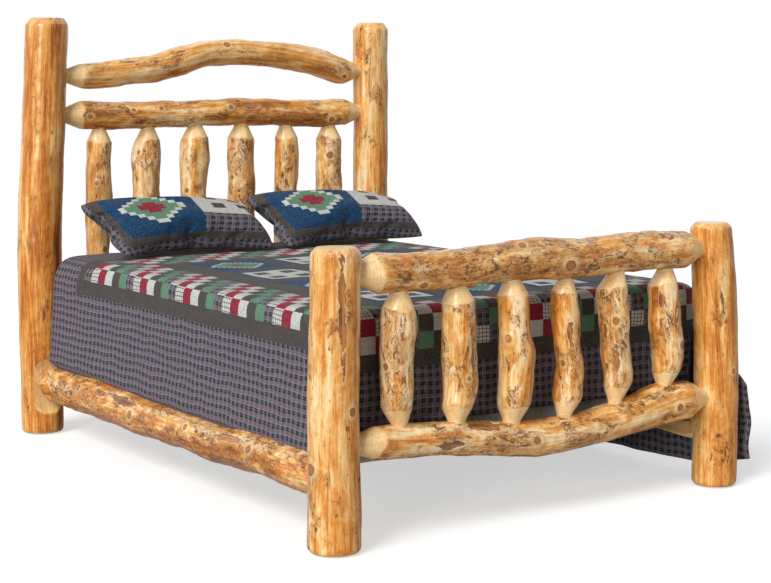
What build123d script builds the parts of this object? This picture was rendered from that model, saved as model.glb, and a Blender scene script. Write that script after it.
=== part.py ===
"""Queen-size rustic log bed: peeled logs joined by round tenons, with its bedding.

Millimetres. +X runs from left to right seen from the foot, +Y from foot to head, +Z is up.
The origin is on the floor, midway between the four posts.

The logs are peeled with a drawknife, which leaves long flats instead of a true round. Each log is
a row of like polygons with a plane between every two sides, so more flats only need `log_sides`.
"""

import os
from math import cos, pi, radians, sin, tan

from build123d import *

os.makedirs("parts", exist_ok=True)

# ---------------------------------------------------------------- how fine the forms are
log_sides = 16  # flats round a log
fastener_sides = 6
glide_sides = 8
corner_flats = 4  # flats round a corner of the bedding
edge_flats = 2  # flats over a rounded edge

# ---------------------------------------------------------------- bedding sizes
mattress_width = 1510
mattress_length = 2030
mattress_height = 254
mattress_corner = 70
mattress_edge = 45
box_spring_height = 203
box_spring_corner = 45
box_spring_edge = 8
bedding_gap = 1
mattress_shift = 5  # the mattress stands this much nearer the headboard

quilt_thickness = 11
quilt_ease = 2  # air between the quilt and what it lies on
quilt_crown = 12  # how much higher the quilt stands over the middle of the bed
quilt_head_margin = 10  # the mattress shows this much at the head
quilt_tuck_room = 8  # from the slats up to the hem tucked down inside the left rail
quilt_foot_hem_z = 338
quilt_skirt_hem_z = 22
quilt_skirt_drop = 120  # the right skirt leaves the mattress this far below its top
quilt_skirt_flare = 12
quilt_ear_reach = 52  # the skirt's free corner trails this far past the centre of the foot post
quilt_ear_flare = 22
quilt_ear_low_z = 60
quilt_ear_high_z = 325

pillow_width = 640
pillow_height = 400
pillow_thickness = 130
pillow_corner = 70
pillow_tilt = 30
pillow_left_x = -290
pillow_right_x = 445
pillow_gap = 4  # from a pillow to the quilt below and the spindles behind

# ---------------------------------------------------------------- log frame sizes
tuck_room = 15  # between the mattress and each side rail
post_outset = 20  # post centres stand this far outside the rails' flat faces
head_gap = 17  # from the mattress to the logs of the headboard
foot_gap = 5  # from the quilt to the logs of the footboard

head_post_height = 1680
head_bevel_height = 27
head_bevel_width = 20
foot_post_height = 940
foot_bevel_height = 15
foot_bevel_width = 15
post_base_bevel = 7

head_left_radius = 87
head_right_radius = 79
foot_left_radius = 79
foot_right_radius = 75

arch_rail_drop = 233  # rail heights below the tops of their posts
arch_rail_radius = 55
arch_rise = 100
upper_rail_drop = 395
upper_rail_radius = 57
head_lower_rail_z = 452
head_lower_rail_radius = 57
foot_top_rail_drop = 88
foot_top_rail_radius = 64
foot_lower_rail_z = 321
foot_lower_rail_radius = 60
foot_rail_bow = 60  # the lower foot rail dips this far at its middle

rail_tenon_radius = 28
rail_tenon_length = 58
rail_cone_length = 70
spindle_pitch = 222.5
head_spindle_shift = 9
foot_spindle_shift = 4
spindle_radius = 54
spindle_tenon_radius = 22
spindle_tenon_length = 42
spindle_cone_length = 52
joint_clearance = 0.4
mortise_spare = 3  # room past a tenon's end

left_rail_z = 202
left_rail_radius = 69
right_rail_z = 232
right_rail_radius = 65
post_flat_depth = 62  # from a post's centre to its milled flat
flat_margin = 8
flat_runout = 30
rail_end_gap = 0.5
scoop_depth = 26
scoop_length = 190
scoop_from_foot = 145

# ---------------------------------------------------------------- slats and hardware
cleat_height = 45
cleat_thickness = 38
cleat_end_gap = 14
cleat_low_z = 178
cleat_screw_count = 4
cleat_screw_inset = 60
slat_width = 89
slat_thickness = 19
slat_count = 5
slat_end_gap = 4
slat_inset = 110

plate_thickness = 3
plate_width = 30
plate_edge = 2  # metal left round a screw's head
plate_inset = 7  # from the rail's flat face to the plate's near edge
plate_ease = 0.3
hook_thickness = 5
hook_height = 12
hook_drop = 5
hook_reach = 6
hook_pitch = 28
hook_ease = 0.6
slot_width = 6.5
pocket_width = 12
pocket_margin = 1
pocket_depth = 14

screw_radius = 2
screw_head_radius = 4
screw_length = 26
screw_ease = 0.2
screw_cone = 82  # countersink angle, degrees
screw_tip = 6
cleat_screw_length = 62

glide_radius = 8.5
glide_height = 6
glide_bevel = 1.2
glide_nail_radius = 2
glide_nail_length = 20

# ---------------------------------------------------------------- worked out from the above
rail_face_x = mattress_width / 2 + tuck_room
post_x = rail_face_x + post_outset
arch_rail_z = head_post_height - arch_rail_drop
upper_rail_z = head_post_height - upper_rail_drop
foot_top_rail_z = foot_post_height - foot_top_rail_drop
mattress_head_y = mattress_length / 2 + mattress_shift
mattress_foot_y = -mattress_length / 2 + mattress_shift
slat_top_z = cleat_low_z + cleat_height + slat_thickness
box_spring_top_z = slat_top_z + box_spring_height
mattress_low_z = box_spring_top_z + bedding_gap
mattress_top_z = mattress_low_z + mattress_height

# ---------------------------------------------------------------- flat-sided forms
ALONG_X, ALONG_Y, ALONG_Z = (1, 0, 0), (0, 1, 0), (0, 0, 1)


def across(direction, origin):
    """A plane at `origin`, square to `direction`, with its x axis along X, or along Y if that is taken."""
    return Plane(origin=origin, x_dir=ALONG_Y if direction[0] else ALONG_X, z_dir=direction)


def faceted(sections):
    """Solid through a row of outlines with as many corners each, whose like sides are parallel."""
    faces = [Face(Wire.make_polygon(section)) for section in (sections[0], sections[-1])]
    for low, high in zip(sections, sections[1:]):
        for corner in range(len(low)):
            faces.append(Face(Wire.make_polygon(
                (low[corner - 1], low[corner], high[corner], high[corner - 1]))))
    return Solid(Shell(faces))


def round_bar(direction, rings, sides):
    """Round bar through rings of (centre, radius) that stand square to one direction."""
    turn = 2 * pi / sides
    return faceted([
        [across(direction, centre).from_local_coords(
            (radius * cos(corner * turn), radius * sin(corner * turn), 0)) for corner in range(sides)]
        for centre, radius in rings
    ])


def rounded_outline(plane, width, length, corner):
    """Corners of a rounded rectangle about a plane's origin."""
    points = []
    for quarter, (sign_x, sign_y) in enumerate(((1, 1), (-1, 1), (-1, -1), (1, -1))):
        for step in range(corner_flats + 1):
            turn = radians(90) * (quarter + step / corner_flats)
            points.append(plane.from_local_coords((
                sign_x * (width / 2 - corner) + corner * cos(turn),
                sign_y * (length / 2 - corner) + corner * sin(turn), 0)))
    return points


# ---------------------------------------------------------------- what a log is
class Log:
    """A peeled log, ring by ring.

    It runs from `start` to `end` along its own length and lies at `side` across it. Each ring is
    (share of the run, sideways drift, extra radius), and the log is straight between rings.
    """

    def __init__(self, start, end, side, radius, rings):
        self.start, self.end, self.side, self.radius = start, end, side, radius
        self.rings = rings

    def place(self, share):
        return self.start + share * (self.end - self.start)

    def shape(self, place):
        """Sideways drift and extra radius at a place along the log."""
        share = min(max((place - self.start) / (self.end - self.start), 0), 1)
        for (s0, d0, w0), (s1, d1, w1) in zip(self.rings, self.rings[1:]):
            if share <= s1:
                blend = (share - s0) / (s1 - s0)
                return d0 + blend * (d1 - d0), w0 + blend * (w1 - w0)

    def centre(self, place):
        return self.side + self.shape(place)[0]

    def reach(self, place):
        return self.radius + self.shape(place)[1]

    def crown(self, place, spread, way):
        """How far the log's surface stands out on its `way` side, anywhere within `spread` of a place."""
        spots = [place - spread, place, place + spread]
        spots += [self.place(share) for share, _, _ in self.rings if abs(self.place(share) - place) < spread]
        return way * max(way * self.centre(spot) + self.reach(spot) for spot in spots)


# Rings of each log: (share of its run, sideways drift, extra radius).
HEAD_LEFT_RINGS = [(0, -23, -2), (0.22, -24, 0), (0.45, -25, 3), (0.62, -12, 2), (0.82, 6, 0), (1, 21, 0)]
HEAD_RIGHT_RINGS = [(0, 6, 2), (0.3, 2, 1), (0.6, 0, -1), (1, 1, 0)]
FOOT_LEFT_RINGS = [(0, -2, 4), (0.25, -3, 2), (0.5, -4, 0), (0.8, 1, -1), (1, 5, -2)]
FOOT_RIGHT_RINGS = [(0, 16, 3), (0.32, 20, 5), (0.53, 18, 2), (0.7, 8, 2), (0.86, -5, 0), (1, -14, -4)]

ARCH_RINGS = [  # drift here is a share of the arch's rise
    (0, 0, -4), (0.17, 0.17, 0), (0.27, 0.31, 3), (0.36, 0.63, 6), (0.46, 0.92, 0),
    (0.58, 1, -1), (0.74, 0.86, 1), (0.84, 0.68, 5), (0.91, 0.48, 9), (1, 0.18, 2),
]
UPPER_RINGS = [(0, 3, 0), (0.18, -4, 1), (0.34, 0, -2), (0.5, 6, 1), (0.66, 1, 2), (0.83, -5, 2), (1, -4, 3)]
HEAD_LOWER_RINGS = [(0, 0, 2), (0.3, -5, 0), (0.62, 4, -2), (1, 0, 1)]
FOOT_TOP_RINGS = [
    (0, 0, 0), (0.11, -8, -3), (0.34, 2, -2), (0.42, 9, 2), (0.58, -1, 0), (0.67, -4, 2),
    (0.82, 6, 1), (1, 1, 2),
]
FOOT_LOWER_RINGS = [  # drift here is a share of the rail's bow
    (0, 0, -6), (0.12, -0.12, -5), (0.27, -0.38, -4), (0.41, -0.82, 0), (0.5, -1, 1),
    (0.65, -0.78, 1), (0.79, -0.46, 6), (0.88, -0.16, 13), (1, 0, 8),
]
LEFT_RAIL_RINGS = [
    (0, 8, -2), (0.12, 12, -1), (0.2, 18, 0), (0.33, -2, -5), (0.47, -2, -5), (0.58, -2, -2),
    (0.7, 0, 2), (0.82, 3, 7), (0.92, -1, 3), (1, -5, -1),
]
RIGHT_RAIL_RINGS = [(0, 0, 0), (0.3, -3, 2), (0.6, 2, -1), (1, 0, 1)]

HEAD_SPINDLE_RINGS = [
    [(0, -14, -8), (0.27, -12, -6), (0.65, -3, -1), (0.9, -3, -3), (1, 0, -2)],
    [(0, -6, 0), (0.4, -12, 3), (0.75, -9, 3), (0.93, -7, 5), (1, -2, -1)],
    [(0, -6, -1), (0.3, -10, 1), (0.7, -10, 2), (0.92, -2, 9), (1, -1, 5)],
    [(0, 4, 1), (0.35, 0, 4), (0.7, -1, 6), (0.92, -5, 5), (1, -3, 3)],
    [(0, -2, -4), (0.4, -1, -5), (0.75, 2, -2), (0.92, 4, 0), (1, 3, -2)],
    [(0, 2, 2), (0.35, 0, 0), (0.75, 0, 5), (0.92, -2, 3), (1, 0, 1)],
]
FOOT_SPINDLE_RINGS = [
    [(0, -9, -4), (0.15, -7, 0), (0.4, -7, -1), (0.62, -9, 0), (0.87, -4, 3), (1, -4, 0)],
    [(0, 3, 0), (0.12, 11, 3), (0.5, 10, 3), (0.85, 10, 3), (1, 8, 2)],
    [(0, 8, 1), (0.12, 11, 4), (0.28, 14, 3), (0.46, 21, 9), (0.64, 14, 1), (1, 4, -1)],
    [(0, 11, -4), (0.14, 15, -3), (0.32, 26, -5), (0.52, 9, -9), (0.78, -1, -6), (1, -6, -9)],
    [(0, 7, -5), (0.12, 9, -4), (0.3, 2, -1), (0.5, -5, -4), (0.72, -8, -1), (1, -15, -1)],
    [(0, 9, -2), (0.16, 15, 2), (0.3, 12, 3), (0.5, 0, 2), (0.75, -2, -1), (1, -6, -3)],
]


def scaled(rings, unit):
    """Rings whose drift is given as a share of `unit`."""
    return [(share, drift * unit, swell) for share, drift, swell in rings]


def widest(radius, rings):
    """Largest radius along a log."""
    return radius + max(swell for _, _, swell in rings)


# The posts stand where the thickest log between them just clears the bedding.
head_clear = max(
    widest(upper_rail_radius, UPPER_RINGS),
    widest(head_lower_rail_radius, HEAD_LOWER_RINGS),
    max(widest(spindle_radius, rings) for rings in HEAD_SPINDLE_RINGS),
)
foot_clear = max(
    widest(foot_top_rail_radius, FOOT_TOP_RINGS),
    widest(foot_lower_rail_radius, FOOT_LOWER_RINGS),
    max(widest(spindle_radius, rings) for rings in FOOT_SPINDLE_RINGS),
)
head_y = mattress_head_y + head_gap + head_clear
foot_y = mattress_foot_y - quilt_thickness - quilt_ease - foot_gap - foot_clear

posts = {
    "headboard_post_left": (
        Log(glide_height, head_post_height, -post_x, head_left_radius, HEAD_LEFT_RINGS), head_y),
    "headboard_post_right": (
        Log(glide_height, head_post_height, post_x, head_right_radius, HEAD_RIGHT_RINGS), head_y),
    "footboard_post_left": (
        Log(glide_height, foot_post_height, -post_x, foot_left_radius, FOOT_LEFT_RINGS), foot_y),
    "footboard_post_right": (
        Log(glide_height, foot_post_height, post_x, foot_right_radius, FOOT_RIGHT_RINGS), foot_y),
}
side_rails = {
    "left": (left_rail_z, left_rail_radius, LEFT_RAIL_RINGS),
    "right": (right_rail_z, right_rail_radius, RIGHT_RAIL_RINGS),
}


def post_seat(post_name, z):
    """X at which a rail's shoulder meets a post's crown, at height z."""
    log = posts[post_name][0]
    inward = 1 if log.side < 0 else -1
    return log.crown(z, rail_tenon_radius, inward)


def rail_between(left, right, z, radius, rings):
    """A rail's log from shoulder to shoulder, and the two seats its cones run out to."""
    seats = post_seat(left, z + rings[0][1]), post_seat(right, z + rings[-1][1])
    log = Log(seats[0] + rail_cone_length, seats[1] - rail_cone_length, z, radius, rings)
    return log, seats


HEAD = ("headboard_post_left", "headboard_post_right")
FOOT = ("footboard_post_left", "footboard_post_right")
rails = {
    "headboard_arch_rail": (
        HEAD, *rail_between(*HEAD, arch_rail_z, arch_rail_radius, scaled(ARCH_RINGS, arch_rise))),
    "headboard_upper_rail": (
        HEAD, *rail_between(*HEAD, upper_rail_z, upper_rail_radius, UPPER_RINGS)),
    "headboard_lower_rail": (
        HEAD, *rail_between(*HEAD, head_lower_rail_z, head_lower_rail_radius, HEAD_LOWER_RINGS)),
    "footboard_top_rail": (
        FOOT, *rail_between(*FOOT, foot_top_rail_z, foot_top_rail_radius, FOOT_TOP_RINGS)),
    "footboard_lower_rail": (
        FOOT, *rail_between(*FOOT, foot_lower_rail_z, foot_lower_rail_radius,
                            scaled(FOOT_LOWER_RINGS, foot_rail_bow))),
}


def spindle_between(low_rail, high_rail, x, rings):
    """A spindle's log from shoulder to shoulder, and the two heights its cones seat at."""
    low, high = rails[low_rail][1], rails[high_rail][1]
    low_seat = low.crown(x, spindle_tenon_radius, 1)
    high_seat = high.crown(x, spindle_tenon_radius, -1)
    log = Log(low_seat + spindle_cone_length, high_seat - spindle_cone_length, x, spindle_radius, rings)
    return log, (low_seat, high_seat)


spindles = {}
for board, shift, low_rail, high_rail, tables in (
    ("headboard", head_spindle_shift, "headboard_lower_rail", "headboard_upper_rail", HEAD_SPINDLE_RINGS),
    ("footboard", foot_spindle_shift, "footboard_lower_rail", "footboard_top_rail", FOOT_SPINDLE_RINGS),
):
    for number, table in enumerate(tables):
        x = shift + (number - (len(tables) - 1) / 2) * spindle_pitch
        spindles[f"{board}_spindle_{number + 1}"] = (
            low_rail, high_rail, *spindle_between(low_rail, high_rail, x, table))


def board_y(name):
    return head_y if name.startswith("headboard") else foot_y


def finish(piece, label):
    """Label a finished piece and write its file."""
    piece.part.label = label
    export_step(piece.part, f"parts/{label}.step")


def drill(direction, mouth, depth, radius, sides):
    """Round hole from a mouth, `depth` along a direction; a negative depth runs the other way."""
    back = mortise_spare if depth > 0 else -mortise_spare
    ends = [
        (tuple(place + share * way for place, way in zip(mouth, direction)), radius)
        for share in sorted((-back, depth))
    ]
    return round_bar(direction, ends, sides)


# ---------------------------------------------------------------- side rail hardware places
plate_mid_x = rail_face_x + plate_inset + plate_width / 2
flat_y = {"head": head_y - post_flat_depth, "foot": foot_y + post_flat_depth}
rail_end_y = {"head": flat_y["head"] - rail_end_gap, "foot": flat_y["foot"] + rail_end_gap}
slot_length = hook_height + hook_drop + 2 * hook_ease
pocket_height = hook_pitch + hook_height + 2 * hook_drop + 2 * pocket_margin
screw_offset = pocket_height / 2 + plate_edge + screw_head_radius  # clear of the pocket
plate_height = 2 * (screw_offset + screw_head_radius + plate_edge)
hook_offsets = (-hook_pitch / 2, hook_pitch / 2)
screw_offsets = (-screw_offset, screw_offset)
screw_head_height = (screw_head_radius - screw_radius) / tan(radians(screw_cone / 2))
END_SIGN = {"head": 1, "foot": -1}  # way from a rail's end to its post, along Y
SIDE_SIGN = {"left": -1, "right": 1}


def rail_end_section(end, side):
    """Height and radius of a side rail at one of its ends."""
    rail_z, radius, rings = side_rails[side]
    _, drift, swell = rings[-1] if end == "head" else rings[0]
    return rail_z + drift, radius + swell


def plate_place(end, side):
    """X and Z of the middle of the plates at one end of a side rail."""
    return SIDE_SIGN[side] * plate_mid_x, rail_end_section(end, side)[0]


def build_post(name):
    log, y = posts[name]
    side = "left" if name.endswith("left") else "right"
    end = "head" if name.startswith("headboard") else "foot"
    bevel_height, bevel_width = {
        "head": (head_bevel_height, head_bevel_width),
        "foot": (foot_bevel_height, foot_bevel_width),
    }[end]
    base, top = log.start + post_base_bevel, log.end - bevel_height
    inner = [log.place(share) for share, _, _ in log.rings if base < log.place(share) < top]
    levels = [
        (log.start, log.reach(log.start) - post_base_bevel),
        *[(z, log.reach(z)) for z in (base, *inner, top)],
        (log.end, log.reach(log.end) - bevel_width),
    ]
    inward = -SIDE_SIGN[side]
    with BuildPart() as post:
        add(round_bar(ALONG_Z, [((log.centre(z), y, z), radius) for z, radius in levels], log_sides))

        # Mortises for the rails of this board.
        for (left, right), rail, seats in rails.values():
            if name not in (left, right):
                continue
            seat_x, edge = (seats[0], rail.start) if name == left else (seats[1], rail.end)
            add(drill(ALONG_X, (seat_x, y, rail.centre(edge)), -inward * (rail_tenon_length + mortise_spare),
                      rail_tenon_radius + joint_clearance, log_sides), mode=Mode.SUBTRACT)

        # The flat milled for the side rail, with sloped run-outs above and below.
        flat_mid, rail_reach = rail_end_section(end, side)
        flat_half = rail_reach + flat_margin + flat_runout
        depth = log.reach(flat_mid) + flat_runout - post_flat_depth
        away = -END_SIGN[end]
        with BuildSketch(Plane.YZ.offset(log.side - 2 * log.radius)) as milled:
            with Locations((flat_y[end] + away * depth / 2, flat_mid)):
                Rectangle(depth, 2 * flat_half)
            chamfer(milled.vertices().group_by(Axis.X)[-1 if away < 0 else 0], flat_runout)
        extrude(amount=4 * log.radius, mode=Mode.SUBTRACT)

        # Recess, hook pocket and pilot holes for the slotted plate.
        plate_x, plate_z = plate_place(end, side)
        with BuildSketch(across((0, -away, 0), (plate_x, flat_y[end], plate_z))):
            Rectangle(plate_width + 2 * plate_ease, plate_height + 2 * plate_ease)
        extrude(amount=plate_thickness + plate_ease, mode=Mode.SUBTRACT)
        with BuildSketch(across((0, -away, 0), (plate_x, flat_y[end], plate_z))):
            Rectangle(pocket_width, pocket_height)
        extrude(amount=pocket_depth, mode=Mode.SUBTRACT)
        for dz in screw_offsets:
            add(drill(ALONG_Y, (plate_x, flat_y[end], plate_z + dz), -away * (screw_length + mortise_spare),
                      screw_radius + screw_ease, fastener_sides), mode=Mode.SUBTRACT)

        # Hole for the glide's nail.
        add(drill(ALONG_Z, (log.centre(log.start), y, log.start), glide_nail_length + mortise_spare,
                  glide_nail_radius + screw_ease, glide_sides), mode=Mode.SUBTRACT)
    finish(post, name)


def build_rail(name):
    _, log, seats = rails[name]
    y = board_y(name)
    body = [((x, y, log.centre(x)), log.reach(x)) for x in (log.place(share) for share, _, _ in log.rings)]
    left_z, right_z = log.centre(log.start), log.centre(log.end)
    rings = [
        ((seats[0] - rail_tenon_length, y, left_z), rail_tenon_radius),
        ((seats[0], y, left_z), rail_tenon_radius),
        *body,
        ((seats[1], y, right_z), rail_tenon_radius),
        ((seats[1] + rail_tenon_length, y, right_z), rail_tenon_radius),
    ]
    with BuildPart() as rail:
        add(round_bar(ALONG_X, rings, log_sides))
        for low_rail, high_rail, spindle, (low_seat, high_seat) in spindles.values():
            for holder, seat_z, way in ((low_rail, low_seat, -1), (high_rail, high_seat, 1)):
                depth = way * (spindle_tenon_length + mortise_spare)
                if name == holder:
                    add(drill(ALONG_Z, (spindle.side, y, seat_z), depth,
                              spindle_tenon_radius + joint_clearance, log_sides), mode=Mode.SUBTRACT)
    finish(rail, name)


def build_spindle(name):
    _, _, log, (low_seat, high_seat) = spindles[name]
    y = board_y(name)
    body = [((log.centre(z), y, z), log.reach(z)) for z in (log.place(share) for share, _, _ in log.rings)]
    rings = [
        ((log.side, y, low_seat - spindle_tenon_length), spindle_tenon_radius),
        ((log.side, y, low_seat), spindle_tenon_radius),
        *body,
        ((log.side, y, high_seat), spindle_tenon_radius),
        ((log.side, y, high_seat + spindle_tenon_length), spindle_tenon_radius),
    ]
    with BuildPart() as spindle:
        add(round_bar(ALONG_Z, rings, log_sides))
    finish(spindle, name)


def build_side_rail(side):
    """Half of a split log: round outside, sawn flat towards the mattress."""
    sign = SIDE_SIGN[side]
    log = Log(rail_end_y["foot"], rail_end_y["head"], *side_rails[side])
    face = sign * rail_face_x
    half_turns = [pi * (corner / (log_sides // 2) - 1 / 2) for corner in range(log_sides // 2 + 1)]
    sections = [
        [(face + sign * log.reach(y) * cos(turn), y, log.centre(y) + log.reach(y) * sin(turn))
         for turn in half_turns]
        for y in (log.place(share) for share, _, _ in log.rings)
    ]
    with BuildPart() as rail:
        add(faceted(sections))

        # A scooped notch near the foot, where a burl was cut away.
        if side == "left":
            scoop_y = log.start + scoop_from_foot
            crest = log.centre(scoop_y) + log.reach(scoop_y)
            scoop_radius = (scoop_length**2 / 4 + scoop_depth**2) / (2 * scoop_depth)
            with BuildSketch(Plane.YZ.offset(face - 2 * log.radius)):
                with Locations((scoop_y, crest - scoop_depth + scoop_radius)):
                    Circle(scoop_radius)
            extrude(amount=4 * log.radius, mode=Mode.SUBTRACT)

        # Recesses for the hook plates, and pilot holes for their screws and the cleat's.
        for end, outward in END_SIGN.items():
            plate_x, plate_z = plate_place(end, side)
            with BuildSketch(across((0, -outward, 0), (plate_x, rail_end_y[end], plate_z))):
                Rectangle(plate_width + 2 * plate_ease, plate_height + 2 * plate_ease)
            extrude(amount=plate_thickness, mode=Mode.SUBTRACT)
            for dz in screw_offsets:
                mouth = (plate_x, rail_end_y[end], plate_z + dz)
                add(drill(ALONG_Y, mouth, -outward * (screw_length + mortise_spare),
                          screw_radius + screw_ease, fastener_sides), mode=Mode.SUBTRACT)
        for y in cleat_screw_places:
            bite = cleat_screw_length - cleat_thickness + mortise_spare
            add(drill(ALONG_X, (face, y, cleat_low_z + cleat_height / 2), sign * bite,
                      screw_radius + screw_ease, fastener_sides), mode=Mode.SUBTRACT)
    finish(rail, f"side_rail_{side}")


# ---------------------------------------------------------------- wood screws
def screw_rings(direction, head, way, length, ease):
    """Rings of a flat-headed screw, or of its hole if `ease` is given, from its head's face inwards."""
    profile = [(0, screw_head_radius), (screw_head_height, screw_radius)]
    if ease:
        profile += [(length, screw_radius)]
    else:
        profile += [(length - screw_tip, screw_radius), (length, screw_radius / 4)]
    rings = [
        (tuple(place + way * depth * along for place, along in zip(head, direction)), radius + ease)
        for depth, radius in profile
    ]
    return rings if way > 0 else rings[::-1]


def build_screws(label, direction, heads, length):
    """Group of flat-headed wood screws, each given by the middle of its head and the way that it points."""
    with BuildPart() as screws:
        for head, way in heads:
            add(round_bar(direction, screw_rings(direction, head, way, length, 0), fastener_sides))
    finish(screws, label)


# ---------------------------------------------------------------- cleats and slats
cleat_span = rail_end_y["head"] - rail_end_y["foot"] - 2 * cleat_end_gap
cleat_mid_y = (rail_end_y["head"] + rail_end_y["foot"]) / 2
cleat_screw_places = [
    cleat_mid_y - cleat_span / 2 + cleat_screw_inset
    + number * (cleat_span - 2 * cleat_screw_inset) / (cleat_screw_count - 1)
    for number in range(cleat_screw_count)
]


def cleat_screw_heads(side):
    """Middles of the screw heads on a cleat's inner face."""
    inner_x = SIDE_SIGN[side] * (rail_face_x - cleat_thickness)
    return [(inner_x, y, cleat_low_z + cleat_height / 2) for y in cleat_screw_places]


def build_cleat(side):
    sign = SIDE_SIGN[side]
    with BuildPart() as cleat:
        with BuildSketch(Plane.XY.offset(cleat_low_z)):
            with Locations((sign * (rail_face_x - cleat_thickness / 2), cleat_mid_y)):
                Rectangle(cleat_thickness, cleat_span)
        extrude(amount=cleat_height)
        for head in cleat_screw_heads(side):
            add(round_bar(ALONG_X, screw_rings(ALONG_X, head, sign, cleat_thickness, screw_ease),
                          fastener_sides), mode=Mode.SUBTRACT)
    finish(cleat, f"cleat_{side}")


def build_slat(number):
    first, last = mattress_foot_y + slat_inset, mattress_head_y - slat_inset
    y = first + (number - 1) * (last - first) / (slat_count - 1)
    with BuildPart() as slat:
        with BuildSketch(Plane.XY.offset(cleat_low_z + cleat_height)):
            with Locations((0, y)):
                Rectangle(2 * (rail_face_x - slat_end_gap), slat_width)
        extrude(amount=slat_thickness)
        chamfer(slat.faces().sort_by(Axis.Z)[-1].edges().filter_by(Axis.X), slat_thickness / 8)
    finish(slat, f"slat_{number}")


# ---------------------------------------------------------------- rail plates and glides
SLOT_UP = {1: Align.MAX, -1: Align.MIN}  # the way up in a plane that faces the foot or the head


def build_hook_plate(end, side):
    """Steel plate let into a side rail's end, with two hooks that drop behind the slotted plate."""
    outward = END_SIGN[end]
    (x, plate_z), front_y = plate_place(end, side), rail_end_y[end]
    inner_y = front_y + outward * (rail_end_gap + plate_thickness + hook_ease)
    tip_y = inner_y + outward * hook_reach
    with BuildPart() as plate:
        with BuildSketch(across((0, -outward, 0), (x, front_y, plate_z))):
            Rectangle(plate_width, plate_height)
        extrude(amount=plate_thickness)
        for dz in hook_offsets:
            low_z, high_z = plate_z + dz - hook_height / 2, plate_z + dz + hook_height / 2
            with BuildSketch(Plane.YZ.offset(x - hook_thickness / 2)):
                with BuildLine():
                    Polyline(
                        (front_y, low_z), (inner_y, low_z), (inner_y, low_z - hook_drop),
                        (tip_y, low_z - hook_drop), (tip_y, high_z - hook_reach),
                        (inner_y, high_z), (front_y, high_z), close=True)
                make_face()
            extrude(amount=hook_thickness)
        for dz in screw_offsets:
            rings = screw_rings(ALONG_Y, (x, front_y, plate_z + dz), -outward, plate_thickness, screw_ease)
            add(round_bar(ALONG_Y, rings, fastener_sides), mode=Mode.SUBTRACT)
    finish(plate, f"hook_plate_{end}_{side}")


def build_slot_plate(end, side):
    """Slotted steel plate let into a post's flat, which the rail's hooks hang on."""
    outward = END_SIGN[end]
    (x, plate_z), front_y = plate_place(end, side), flat_y[end]
    with BuildPart() as plate:
        with BuildSketch(across((0, outward, 0), (x, front_y, plate_z))):
            Rectangle(plate_width, plate_height)
        extrude(amount=plate_thickness)
        for dz in hook_offsets:
            slot_low_z = plate_z + dz - hook_height / 2 - hook_ease
            with BuildSketch(across((0, outward, 0), (x, front_y, slot_low_z))):
                Rectangle(slot_width, slot_length, align=(Align.CENTER, SLOT_UP[outward]))
            extrude(amount=plate_thickness, mode=Mode.SUBTRACT)
        for dz in screw_offsets:
            rings = screw_rings(ALONG_Y, (x, front_y, plate_z + dz), outward, plate_thickness, screw_ease)
            add(round_bar(ALONG_Y, rings, fastener_sides), mode=Mode.SUBTRACT)
    finish(plate, f"slot_plate_{end}_{side}")


def plate_screw_heads(places, facing):
    """Heads of the two screws of each plate, which point towards the posts if `facing` is +1."""
    return [
        ((x, places[end], z + dz), facing * END_SIGN[end])
        for end in END_SIGN for side in SIDE_SIGN
        for x, z in [plate_place(end, side)] for dz in screw_offsets
    ]


def build_glides():
    """A nail-on glide under each post: a button with its nail."""
    profile = [
        (0, glide_radius - glide_bevel), (glide_bevel, glide_radius), (glide_height, glide_radius),
        (glide_height, glide_nail_radius), (glide_height + glide_nail_length, glide_nail_radius),
    ]
    with BuildPart() as glides:
        for log, y in posts.values():
            x = log.centre(log.start)
            add(round_bar(ALONG_Z, [((x, y, z), radius) for z, radius in profile], glide_sides))
    finish(glides, "post_glides")


# ---------------------------------------------------------------- bedding
quilt_head_y = mattress_head_y - quilt_head_margin
bedding_corner = min(mattress_corner, box_spring_corner)  # the sharper corner shapes the quilt


def build_block(label, low_z, high_z, corner, edge):
    """Upholstered block with rounded upright corners and softened top and bottom edges."""
    turns = [radians(90) * step / edge_flats for step in range(edge_flats + 1)]
    rounding = [(edge * (1 - cos(turn)), edge * (1 - sin(turn))) for turn in turns]
    layers = [(low_z + rise, inset) for rise, inset in rounding]
    layers += [(high_z - rise, inset) for rise, inset in reversed(rounding)]
    sections = [
        rounded_outline(across(ALONG_Z, (0, mattress_shift, z)), mattress_width - 2 * inset,
                        mattress_length - 2 * inset, corner - inset)
        for z, inset in layers
    ]
    with BuildPart() as block:
        add(faceted(sections))
    finish(block, label)


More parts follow.
